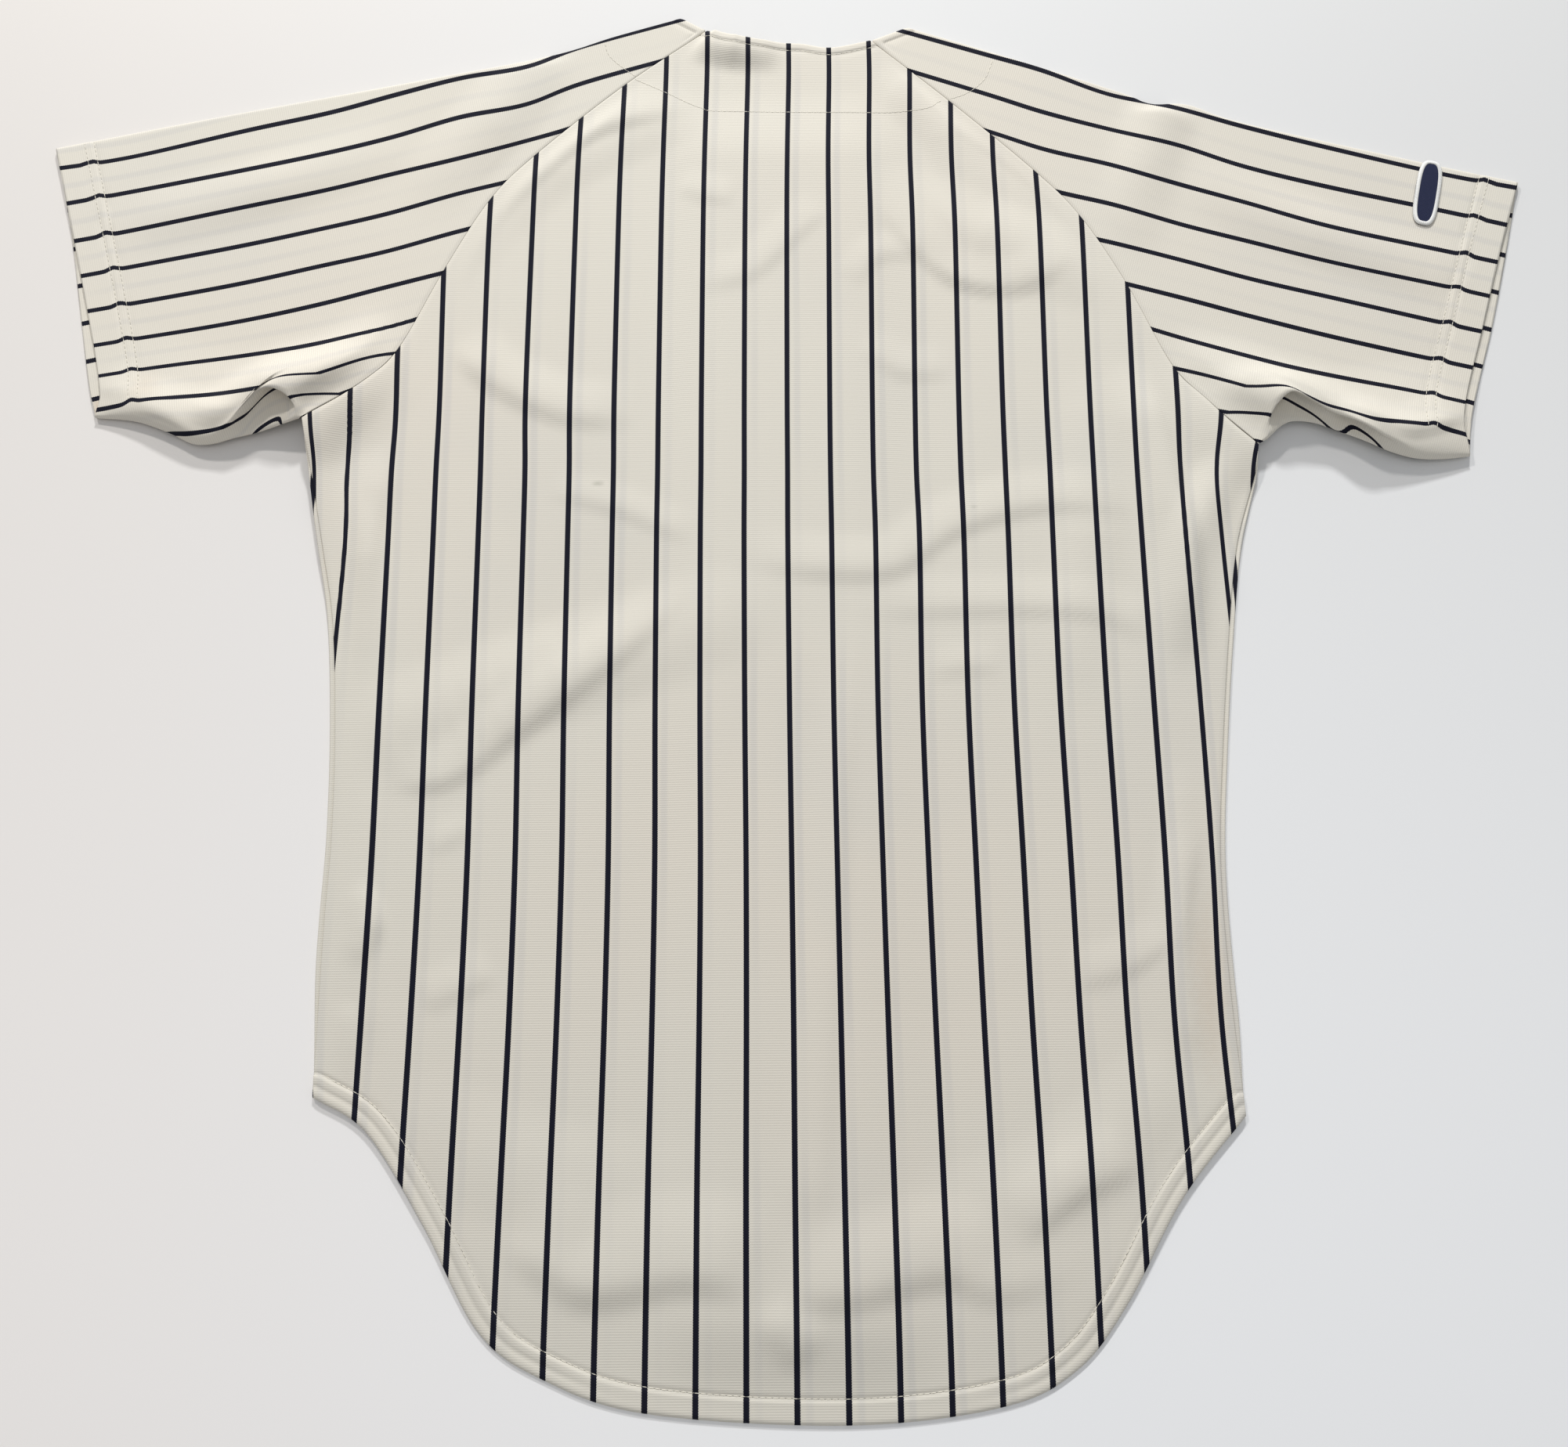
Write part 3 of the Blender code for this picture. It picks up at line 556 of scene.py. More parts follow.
def raglan_line(side, scale=(1.0, 1.0)):
    """A raglan seam from the armpit to the neck, drawn in towards the armpit for the front."""
    line = smooth_line(columns_of(RAGLAN, COLUMN[side]))
    return by_length(line[0] + (line - line[0]) * scale)


def front_hem_line():
    """The shallower hem of the two fronts, from corner to corner."""
    line = smooth_line(HEM)
    corner = np.interp(line[:, 0], (HEM[0][0], HEM[-1][0]), (HEM[0][1], HEM[-1][1]))
    line[:, 1] = corner - (corner - line[:, 1]) * TAIL_SHORTER
    return line


def front_hem_at(x):
    line = front_hem_line()
    return np.interp(x, line[:, 0], line[:, 1])


def back_underside(grid, across, up):
    """Height of the underside of the back: over the fronts, down to the floor at the tail."""
    x = grid[..., 0]
    y = grid[..., 1]
    sides = smooth((HILL_FOOT - np.abs(x)) / HILL_SLOPE)
    over_plackets = sides * smooth((HILL_END_Y - y) / HILL_SLOPE)
    off_fronts = smooth((front_hem_at(x) - y - DRAPE_STARTS) / DRAPE_LENGTH)
    to_edge = np.minimum(across, 1 - across)[None, :]
    still = smooth(to_edge / STILL_EDGE) * smooth(up[:, None] / STILL_EDGE)
    layers = (UPPER + PLACKET_HILL * over_plackets) * (1 - off_fronts)
    creases = CREASE_DEPTH * crease_heights(grid, BACK_CREASES)
    folds = (fold_heights(grid, BACK_FOLDS) + creases) * still
    return layers + folds + crease_heights(grid, NECK_ROLL) * smooth(to_edge / STILL_EDGE)


def placed(points):
    """Points of the tables as points of the frame, in metres."""
    return (points - np.array([CENTRE_X, CENTRE_Y, 0.0])) * MM


def quads(rows, columns, around=False):
    """Corner numbers of the faces of a grid."""
    last = columns if around else columns - 1
    row, column = np.meshgrid(np.arange(rows - 1), np.arange(last), indexing="ij")
    after = (column + 1) % columns
    here = row * columns
    above = here + columns
    return np.stack([here + column, here + after, above + after, above + column], axis=-1)


def linked(name, data):
    """A new object of the scene."""
    item = bpy.data.objects.new(name, data)
    bpy.context.scene.collection.objects.link(item)
    return item


def new_piece(name, points, corners, spots):
    """An object from points in millimetres, faces and each corner's place on the flat cloth."""
    points[:, 2] += crease_heights(points[:, :2], LIFTS, gentle=LIFT_GENTLE)
    mesh = bpy.data.meshes.new(name)
    mesh.from_pydata(placed(points).tolist(), [], corners.tolist())
    layer = mesh.uv_layers.new(name="cloth")
    layer.uv.foreach_set("vector", np.ascontiguousarray(spots, np.float32).ravel())
    mesh.shade_smooth()
    return linked(name, mesh)


def grown(grid, out):
    """The grid with one more ring of points round it, moved out by a distance."""
    rows = np.concatenate([2 * grid[:1] - grid[1:2], grid, 2 * grid[-1:] - grid[-2:-1]])
    wide = np.concatenate([2 * rows[:, :1] - rows[:, 1:2], rows, 2 * rows[:, -1:] - rows[:, -2:-1]], axis=1)
    ring = np.ones(wide.shape[:2], bool)
    ring[1:-1, 1:-1] = False
    nearest = np.pad(grid, ((1, 1), (1, 1), (0, 0)), mode="edge")
    step = wide - nearest
    step /= np.maximum(np.linalg.norm(step, axis=-1, keepdims=True), 1e-6)
    return np.where(ring[..., None], nearest + step * out, wide)


def panel(name, grid, low, high, cloth):
    """A panel with an upper and a lower surface and a rounded edge."""
    rows, columns = grid.shape[:2]
    wide = grown(grid, RIM)
    middle = np.pad(0.5 * (low + high), 1, mode="edge")
    top = np.pad(high, 1, mode="edge")
    ring = np.ones(top.shape, bool)
    ring[1:-1, 1:-1] = False
    upper = np.dstack([wide, np.where(ring, middle, top)]).reshape(-1, 3)
    lower = np.dstack([grid, low]).reshape(-1, 3)
    upper_quads = quads(rows + 2, columns + 2).reshape(-1, 4)
    number = np.arange(top.size).reshape(top.shape)
    number[1:-1, 1:-1] = top.size + np.arange(rows * columns).reshape(rows, columns)
    lower_quads = number.ravel()[upper_quads][:, ::-1]
    wide_cloth = np.pad(cloth, ((1, 1), (1, 1), (0, 0)), mode="edge").reshape(-1, 2)
    spots = np.concatenate([wide_cloth[upper_quads], wide_cloth[upper_quads[:, ::-1]]])
    return new_piece(name, np.vstack([upper, lower]), np.vstack([upper_quads, lower_quads]), spots)


def turned_edge(distance, width, height, soft):
    """Cloth turned over at an edge, raised from the edge to its stitches."""
    return height * smooth(distance / soft) * smooth((width - distance) / soft)


def neck_relief(distance):
    """The narrow turned neck edge, with the groove of its stitches."""
    groove = NECK_GROOVE * bump(distance, NECK_STITCH, 0.9)
    return turned_edge(distance, NECK_STITCH, NECK_TURNED, 1.0) - groove


def seam_relief(distance):
    """Cloth drawn in a little along a seam."""
    return -SEAM_DROP * (1 - smooth(distance / SEAM_WIDTH))


def make_back():
    near_seam = (0.7, 1.6, 3.0)
    near_hem = tuple(np.arange(1, 19) * 1.1)
    near_neck = (0.8, 1.8, 3.2, 4.2, 5.0, 6.0)
    across = finer_at_ends(BACK_COLUMNS, BACK_WIDTH, near_seam, near_seam)
    up = finer_at_ends(BACK_ROWS, BACK_LENGTH, near_hem, near_neck)
    sides = [chained(side_line(side), raglan_line(side), ARMPIT) for side in SIDES]
    grid = patch_grid(*sides, by_length(smooth_line(HEM)), by_length(smooth_line(NECK)), across, up)
    low = back_underside(grid, across, up)
    hem = from_line(grid, smooth_line(HEM, steps=6))
    neck = from_line(grid, smooth_line(NECK, steps=6))
    to_seam = np.minimum(across, 1 - across)[None, :] * BACK_WIDTH
    curved = smooth((np.abs(grid[..., 0]) - CURVE_STARTS) / CURVE_WIDTH)
    high = low + WALL + turned_edge(hem, HEM_STITCH, TURNED, 1.5)
    high = high - GROOVE * bump(hem, HEM_STITCH, 1.1) - curved * GROOVE * bump(hem, HEM_GROOVE, 1.5)
    high = high + neck_relief(neck) + seam_relief(to_seam)
    stripes = back_stripes(np.dstack([grid, high]))
    cloth = np.dstack([stripes, grid[..., 1] / PITCH])
    return panel("back_cloth", grid, low, high, cloth)


def front_outline(side):
    """Outer, inner, lower and upper edges of a front, each from its start at the side or the hem."""
    outer = chained(side_line(side, SIDE_REACH), raglan_line(side, FRONT_RAGLAN), ARMPIT)
    sign = SIGN[side]
    inner_x = -sign * PLACKET_HALF
    hem = front_hem_line()
    part = hem[hem[:, 0] * sign > -PLACKET_HALF]
    part = part[np.argsort(part[:, 0] * -sign)]
    bottom = by_length(np.vstack([part, (inner_x, front_hem_at(inner_x))]))
    neckline = smooth_line(columns_of(NECKLINE, COLUMN[side]))
    neckline[0] = raglan_line(side, FRONT_RAGLAN)(np.ones(1))[0]
    top = by_length(np.vstack([neckline, (inner_x, neckline[-1, 1])]))
    inner = by_length(np.concatenate([bottom(np.ones(1)), top(np.ones(1))]))
    return outer, inner, bottom, top


def make_front(side):
    outer, inner, bottom, top = front_outline(side)
    near_hem = (1.2, 2.6, 5, 9, 11, 12, 13, 15)
    near_neck = (1, 2.4, 4, 5, 6)
    near_side = (0.5, 1.0, 1.6, 2.2, 2.7, 3.1, 3.8, 5.0)
    near_placket = (0.05, 0.2)
    up = finer_at_ends(FRONT_ROWS, FRONT_LENGTH, near_hem, near_neck)
    width = finer_at_ends(FRONT_COLUMNS, FRONT_WIDTH, near_side, near_placket)
    across = 1 - (1 - width) ** CLOSER_TO_PLACKET
    grid = patch_grid(outer, inner, bottom, top, across, up)
    x = grid[..., 0]
    if side == "left":
        low = BUTTON_CLEAR * smooth((x + OVERLAP_FOOT) / OVERLAP_SLOPE)
    else:
        low = UNDERLAP * smooth((UNDERLAP_FOOT - x) / UNDERLAP_SLOPE)
    seam = chained(side_line(side), raglan_line(side, FRONT_RAGLAN), ARMPIT)(up)
    room = np.linalg.norm(seam - outer(up), axis=-1)[:, None]
    out = np.linalg.norm(grid - grid[:, :1], axis=-1)
    below_armpit = (up < ARMPIT)[:, None]
    lip = np.clip((room - 0.4 - out) / np.maximum(room, 0.5), 0, 1) * below_armpit
    high = low + WALL + FRONT_LIP * np.sqrt(lip) * smooth(out / 0.9 + 0.35)
    stripes = x / PITCH + FRONT_SKEW * smooth((-x - SKEW_STARTS) / SKEW_WIDTH)
    cloth = np.dstack([stripes, grid[..., 1] / PITCH])
    if side == "right":
        grid, low, high, cloth = (values[:, ::-1] for values in (grid, low, high, cloth))
    return panel("front_cloth_" + side, grid, low, high, cloth)


def lips_at(side, shares):
    """Underarm edges of the upper and the lower layer at each section of a sleeve."""
    line = smooth_line(LIPS[side])
    values = np.stack([np.interp(shares, line[:, 0], column) for column in line.T[1:]], axis=-1)
    return values[:, :2], values[:, 2:]


def sleeve_layer(side, seam, neck_edge, cuff_column, lip, shares):
    """A grid over one layer of a sleeve: rows from seam to cuff, columns from underarm to shoulder."""
    steps = RAGLAN_ROWS + NECK_STEPS
    inner = chained(seam, neck_edge, RAGLAN_ROWS / steps)
    cuff = by_length(smooth_line(columns_of(CUFF[side], cuff_column)))
    shoulder = by_length(smooth_line(SHOULDER[side]))

    def underarm(at):
        return np.stack([np.interp(at, shares, column) for column in lip.T], axis=-1)

    up = np.linspace(0, 1, steps * SLEEVE_FINER + 1)
    grid = patch_grid(underarm, shoulder, inner, cuff, up, shares)
    run = np.gradient(grid[0], axis=0)
    way = np.stack([-run[:, 1], run[:, 0]], axis=-1)
    way *= np.sign((way * (grid[-1] - grid[0])).sum(axis=-1))[:, None]
    way *= SEAM_GAP / np.linalg.norm(way, axis=-1)[:, None]
    return grid + np.clip(1 - shares / SEAM_STILL, 0, 1)[:, None, None] * way


def with_height(points, height):
    return np.concatenate([points, np.broadcast_to(height, points.shape[:-1])[..., None]], axis=-1)


def even_out(rows):
    """Averages each row of values with its neighbours, in place."""
    for _turn in range(EVEN_OUT):
        rows[1:-1] = 0.25 * rows[:-2] + 0.5 * rows[1:-1] + 0.25 * rows[2:]


def inwards(layer):
    """Unit steps into the sleeve at its underarm, one for each section, even from one to the next."""
    step = layer[:, SLEEVE_FINER] - layer[:, 0]
    step /= np.linalg.norm(step, axis=-1)[:, None]
    even_out(step)
    return step / np.linalg.norm(step, axis=-1)[:, None]


def underarm_points(upper, lower, top):
    """The outer surface round the underarm of each section, from the lower layer to the upper one.

    Where the upper edge stands high, the cloth tucks in under it. Elsewhere it rolls over round.
    """
    opened = smooth((top - FOLDED - POCKET_STARTS) / POCKET_OPENS_OVER)
    room = np.maximum(top - 2 * FOLDED, 0)
    half = 0.5 * FOLDED
    edge = upper[:, 0]
    start = lower[:, 0] + inwards(lower) * half
    end = edge + inwards(upper) * UNDERARM_RUN
    around = [with_height(start, 0.0), with_height(lower[:, 0], half), with_height(start, FOLDED)]
    for _name, share, tuck, drop, of_room in UNDERARM:
        turn = 0.5 * math.pi * share
        flat = start + (1 - math.cos(turn)) * (end - start)
        flat_height = FOLDED + math.sin(turn) * (top - FOLDED)
        tucked = edge + inwards(upper) * tuck
        open_height = top - drop if drop is not None else FOLDED + of_room * room
        place = flat + opened[:, None] * (tucked - flat)
        around.append(with_height(place, flat_height + opened * (open_height - flat_height)))
    return around


def rounded(rings):
    """Each closed ring with twice the points, softened at its corners."""
    before = np.roll(rings, 1, axis=1)
    after = np.roll(rings, -1, axis=1)
    kept = 0.125 * before + 0.75 * rings + 0.125 * after
    middle = 0.5 * (rings + after)
    return np.stack([kept, middle], axis=2).reshape(rings.shape[0], -1, 3)


def make_sleeve(side):
    """A sleeve as one piece of cloth: upper layer, shoulder fold, lower layer and underarm."""
    near_neck = (0.8, 1.8, 3.0, 4.2, 5.0, 5.8)
    near_cuff = (1.2, 16, 17, 18, 19, 22, 23, 24, 25)
    shares = finer_at_ends(SLEEVE_SECTIONS, SLEEVE_LENGTH, near_neck, near_cuff)
    upper_lip, lower_lip = lips_at(side, shares)
    corner = np.array(SHOULDER[side][0], float)
    back_seam = raglan_line(side)
    front_seam = raglan_line(side, FRONT_RAGLAN)
    back_neck = by_length(np.array([back_seam(np.ones(1))[0], corner]))
    front_neck = by_length(np.array([front_seam(np.ones(1))[0], corner]))
    upper = sleeve_layer(side, back_seam, back_neck, 0, upper_lip, shares)
    lower = sleeve_layer(side, front_seam, front_neck, 2, lower_lip, shares)

    fold = upper[:, -1].copy()
    normal = np.array([fold[-1, 1] - fold[0, 1], fold[0, 0] - fold[-1, 0]])
    normal *= np.sign(normal[1]) / np.linalg.norm(normal)
    half = 0.5 * FOLDED
    upper[:, -1] -= normal * half
    lower[:, -1] -= normal * half

    to_fold = np.linspace(1, 0, upper.shape[1])
    still = smooth(shares / SEAM_STILL)[:, None] * smooth(to_fold / SEAM_STILL)[None, :]
    height = FOLDED + fold_heights(upper, SLEEVE_FOLDS[side]) * still
    from_cuff = from_line(upper, smooth_line(columns_of(CUFF[side], 0), steps=4))
    from_neck = from_line(upper, np.array([back_seam(np.ones(1))[0], corner]))
    relief = -GROOVE * sum(bump(from_cuff, away, 1.1) for away in CUFF_STITCHES)
    relief += CUFF_TURNED * smooth((CUFF_STITCHES[1] - from_cuff) / 2.0)
    relief += seam_relief(np.linalg.norm(upper - upper[:1], axis=-1)) + neck_relief(from_neck)
    top = height + relief
    columns = range(SLEEVE_STARTS, upper.shape[1])
    ring = underarm_points(upper, lower, height[:, 0])
    ring += [with_height(upper[:, column], top[:, column]) for column in columns]
    ring += [with_height(fold, half)]
    ring += [with_height(lower[:, column], 0.0) for column in reversed(columns)]
    rings = np.stack(ring, axis=1)
    even_out(rings[:, : UNDERARM_POINTS + 2])
    return sleeve_piece(side, rounded(rings), 2 * UNDERARM_POINTS, 2 * (UNDERARM_POINTS + len(columns)))


def sleeve_piece(side, rings, lip, fold):
    """The sleeve's cloth from its rings. lip and fold number the points where the upper layer lies."""
    stripes = sleeve_stripes(rings, side)
    steps = np.linalg.norm(np.diff(rings, axis=1, append=rings[:, :1]), axis=-1) / PITCH
    total = np.concatenate([np.zeros((len(rings), 1)), np.cumsum(steps, axis=1)], axis=1)
    across = np.empty_like(total)
    across[:, lip : fold + 1] = stripes[:, lip : fold + 1]
    across[:, :lip] = stripes[:, lip : lip + 1] + total[:, lip : lip + 1] - total[:, :lip]
    sign = SIGN[side]
    ends = np.array(SHOULDER[side], float)
    way = ends[-1] - ends[0]
    way /= np.linalg.norm(way)
    down = np.array([sign * way[1], -sign * way[0]])
    around = np.concatenate([rings, rings[:, :1]], axis=1)[..., :2] - ends[0]
    along = (around * way).sum(axis=-1) / PITCH
    below = (around * down).sum(axis=-1) / PITCH
    under = slice(fold + 1, None)
    at_fold = [np.interp(along[:, under], along[:, fold], row[:, fold]) for row in (stripes, below)]
    away = below[:, under] - at_fold[1]
    even = (stripes[:, fold] + below[:, fold]).mean() - below[:, under]
    across[:, under] = at_fold[0] - away + (even - at_fold[0] + away) * smooth(away / STRIPES_EVEN_OUT)
    from_cuff = from_line(rings[..., :2], smooth_line(columns_of(CUFF[side], 0), steps=4))
    from_cuff = np.concatenate([from_cuff, from_cuff[:, :1]], axis=1)
    centre = 0.5 * sum(CUFF_STITCHES)
    across += JOG * bump(from_cuff, centre - 1.0, 3.4)
    cloth = np.dstack([across, along])
    rows, columns = rings.shape[:2]
    corners = quads(rows, columns, around=True)
    wide = quads(rows, columns + 1)
    if sign > 0:
        corners = corners[..., ::-1]
        wide = wide[..., ::-1]
    spots = cloth.reshape(-1, 2)[wide.reshape(-1, 4)]
    piece = new_piece("sleeve_cloth_" + side, rings.reshape(-1, 3), corners.reshape(-1, 4), spots)
    shell = piece.modifiers.new("cloth", "SOLIDIFY")
    shell.thickness = WALL * MM
    shell.offset = -1
    shell.use_quality_normals = True
    return piece


class Nodes:
    """Short ways to add the nodes of one material."""

    def __init__(self, name):
        self.material = bpy.data.materials.new(name)
        self.material.use_nodes = True
        self.tree = self.material.node_tree
        self.shader = self.tree.nodes["Principled BSDF"]

    def set_input(self, socket, value):
        if isinstance(value, bpy.types.NodeSocket):
            self.tree.links.new(value, socket)
        else:
            socket.default_value = value

    def add(self, kind, values=(), output=0, **settings):
        node = self.tree.nodes.new(kind)
        for name, value in settings.items():
            setattr(node, name, value)
        for key, value in dict(values).items():
            self.set_input(node.inputs[key], value)
        return node.outputs[output]

    def math(self, operation, *values):
        return self.add("ShaderNodeMath", dict(enumerate(values)), operation=operation)

    def step(self, value, start, end, low=0.0, high=1.0):
        """A soft step from low at start to high at end."""
        values = {0: value, 1: start, 2: end, 3: low, 4: high}
        return self.add("ShaderNodeMapRange", values, interpolation_type="SMOOTHSTEP")

    def mix(self, share, first, second, blend="MIX"):
        values = {0: share, 6: first, 7: second}
        return self.add("ShaderNodeMix", values, output=2, data_type="RGBA", blend_type=blend)

    def noise(self, place, scale, detail=2.0):
        values = {"Vector": place, "Scale": scale, "Detail": detail}
        return self.add("ShaderNodeTexNoise", values)

    def times(self, first, second):
        return self.math("MULTIPLY", first, second)

    def plus(self, first, second):
        return self.math("ADD", first, second)

    def place(self):
        """Each point of the object, in metres."""
        return self.add("ShaderNodeTexCoord", output=3)

    def finished(self, **inputs):
        """The material, with inputs of its shader by name."""
        for name, value in inputs.items():
            self.set_input(self.shader.inputs[name.replace("_", " ")], value)
        return self.material


CREAM = (0.70, 0.665, 0.585, 1.0)
CREAM_WARM = (0.73, 0.655, 0.56, 1.0)
CREAM_GREY = (0.60, 0.60, 0.56, 1.0)
INK = (0.005, 0.0055, 0.014, 1.0)
INK_HALF = 1.38  # half the width of a pinstripe
INK_TEETH = 0.26  # how far the knit's loops make its edge stand out
COURSES = 20.0  # courses of the knit in one pitch
WALES = 26.0
SHOW_THROUGH = (0.40, 0.41, 0.45, 1.0)  # a pinstripe of the layer below, seen through the cloth
BROWN = (0.60, 0.48, 0.36, 1.0)
SCUFF = (0.33, 0.33, 0.27, 1.0)


# Worn and soiled places of the cloth.
MARKS = (
    # name, x, y, half width and half height in millimetres, strength, colour
    ("scuff on the back", -109.5, 504.6, 5.0, 3.0, 0.55, SCUFF),
    ("mark on the back", 106.7, 488.0, 3.0, 2.0, 0.30, SCUFF),
    ("brown along the side seam", 222.0, 215.0, 15.0, 75.0, 0.32, BROWN),
    ("soiled cuff", -376.0, 566.0, 14.0, 20.0, 0.22, BROWN),
    ("frayed edge of the cuff", -404.5, 556.0, 3.5, 9.0, 0.60, BROWN),
)


def add_marks(n, place, colour):
    """The soiled places, uneven at their edges."""
    uneven = n.noise(place, 260.0, 3.0)
    for _name, x, y, half_width, half_height, strength, tint in MARKS:
        centre = tuple(placed(np.array([x, y, 0.0])))
        size = (1 / (half_width * MM), 1 / (half_height * MM), 0.0)
        offset = n.add("ShaderNodeVectorMath", {0: place, 1: centre}, operation="SUBTRACT")
        offset = n.add("ShaderNodeVectorMath", {0: offset, 1: size}, operation="MULTIPLY")
        reach = n.add("ShaderNodeVectorMath", {0: offset}, output=1, operation="LENGTH")
        rough = n.plus(reach, n.times(uneven, 0.7))
        share = n.step(rough, 0.25, 1.35, strength, 0.0)
        colour = n.mix(share, colour, tint)
    return colour


def knit_material(name, ghost_shift, ghost, soiled=True):
    """Ribbed knit with pinstripes, the under layer's stripes showing faintly through it, and painted shade
    in the hollows of its ribs.
    """
    n = Nodes(name)
    cloth = n.add("ShaderNodeUVMap", uv_map="cloth")
    across, along, _up = n.add("ShaderNodeSeparateXYZ", {0: cloth}).node.outputs
    place = n.place()

    off_stripe = n.times(n.math("PINGPONG", across, 0.5), PITCH)
    tooth = n.math("PINGPONG", n.times(along, COURSES), 0.5)
    edge = n.plus(off_stripe, n.times(tooth, -2 * INK_TEETH))
    ink = n.step(edge, INK_HALF - 0.12, INK_HALF + 0.16, 1.0, 0.0)

    drift = n.times(n.noise(place, 3.0), 0.24)
    shifted = n.math("PINGPONG", n.plus(n.plus(across, ghost_shift), drift), 0.5)
    patches = n.step(n.noise(place, 5.5), 0.36, 0.60, 0.15, 1.0)
    through = n.step(n.times(shifted, PITCH), 0.8, 3.0, 1.0, 0.0)
    through = n.times(n.times(through, patches), ghost)

    rib = n.math("SINE", n.times(along, COURSES * 2 * math.pi))
    wale = n.math("SINE", n.times(across, WALES * 2 * math.pi))
    weave = n.times(n.times(rib, 0.5), n.plus(n.times(wale, 0.35), 1.0))

    warm = n.step(n.noise(place, 3.2, 3.0), 0.42, 0.66)
    grey = n.step(n.noise(place, 6.5, 3.0), 0.48, 0.72)
    colour = n.mix(n.times(warm, 0.35), CREAM, CREAM_WARM)
    colour = n.mix(n.times(grey, 0.25), colour, CREAM_GREY)
    colour = n.mix(through, colour, SHOW_THROUGH)
    if soiled:
        colour = add_marks(n, place, colour)
    # Painted shade: the colour darkens in the hollows between the knit's ribs and lightens on their tops,
    # with the weave that also makes the bump.
    ribbed = n.step(n.noise(place, 9.0), 0.3, 0.7, 0.05, 0.13)
    rib_shade = n.plus(n.times(weave, ribbed), 1.0)
    tone = n.add("ShaderNodeCombineColor", {0: rib_shade, 1: rib_shade, 2: rib_shade})
    colour = n.mix(1.0, colour, tone, blend="MULTIPLY")
    colour = n.mix(ink, colour, INK)

    height = n.plus(n.times(weave, 0.6), n.times(n.noise(place, 900.0), 0.5))
    bumped = n.add("ShaderNodeBump", {"Strength": 0.4, "Distance": 0.0002, "Height": height})
    sheen = {"Sheen_Weight": 0.03, "Sheen_Roughness": 0.5}
    return n.finished(Normal=bumped, Base_Color=colour, Roughness=0.8, Specular_IOR_Level=0.15, **sheen)


def thread_material(name, colour):
    n = Nodes(name)
    twist = n.add("ShaderNodeTexWave", {"Vector": n.place(), "Scale": 900.0, "Distortion": 2.0}, output=1)
    tone = n.mix(n.times(twist, 0.25), colour, (0.45, 0.42, 0.36, 1.0))
    return n.finished(Base_Color=tone, Roughness=0.6)


def surface_of(piece):
    """A piece's final faces, to find places on them."""
    graph = bpy.context.evaluated_depsgraph_get()
    mesh = piece.evaluated_get(graph).to_mesh()
    points = [vertex.co.copy() for vertex in mesh.vertices]
    faces = [tuple(face.vertices) for face in mesh.polygons]
    return BVHTree.FromPolygons(points, faces)


BAR_SIDES = 6
BAR_RINGS = (
    # place along the bar, share of its radius
    *((-0.5, 0.25), (-0.38, 0.8), (0.0, 1.0), (0.38, 0.8), (0.5, 0.25)),
)


def bars(name, groups):
    """Small rounded bars as one piece. Each group has its bars, its material and their radius."""
    mesh = bpy.data.meshes.new(name)
    points = []
    faces = []
    kinds = []
    for kind, (group, material, radius) in enumerate(groups):
        mesh.materials.append(material)
        for start, end, outward in group:
            way = end - start
            aside = way.cross(outward).normalized()
            upright = aside.cross(way).normalized()
            centre = 0.5 * (start + end)
            first = len(points)
            for place, size in BAR_RINGS:
                for corner in range(BAR_SIDES):
                    angle = 2 * math.pi * corner / BAR_SIDES
                    offset = aside * math.cos(angle) + upright * math.sin(angle)
                    points.append(centre + way * place + offset * radius * size * MM)
            for ring in range(len(BAR_RINGS) - 1):
                low = first + ring * BAR_SIDES
                high = low + BAR_SIDES
                for corner in range(BAR_SIDES):
                    after = (corner + 1) % BAR_SIDES
                    faces.append((low + corner, low + after, high + after, high + corner))
            last = first + (len(BAR_RINGS) - 1) * BAR_SIDES
            faces.append(tuple(range(first + BAR_SIDES - 1, first - 1, -1)))
            faces.append(tuple(range(last, last + BAR_SIDES)))
            kinds += [kind] * (len(faces) - len(kinds))
    mesh.from_pydata(points, [], faces)
    mesh.polygons.foreach_set("material_index", kinds)
    mesh.shade_smooth()
    piece = linked(name, mesh)
    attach(piece, "root")


STITCH_STEP = 3.3
STITCH_RADIUS = 0.21
STITCH_SUNK = 0.03
# Painted shade: each needle hole is a dark bar sunk a little into the cloth.
HOLE_RADIUS = 0.25
HOLE_SUNK = 0.13
STITCH_SHARE = 0.68  # the rest of each step is the gap with the needle's hole


def on_cloth(x, y, tree, up):
    """Where a line straight down, or up from below, first meets the cloth."""
    spot = Vector(placed(np.array([x, y, 0.0])))
    return tree.ray_cast(spot + up * 0.2, -up)


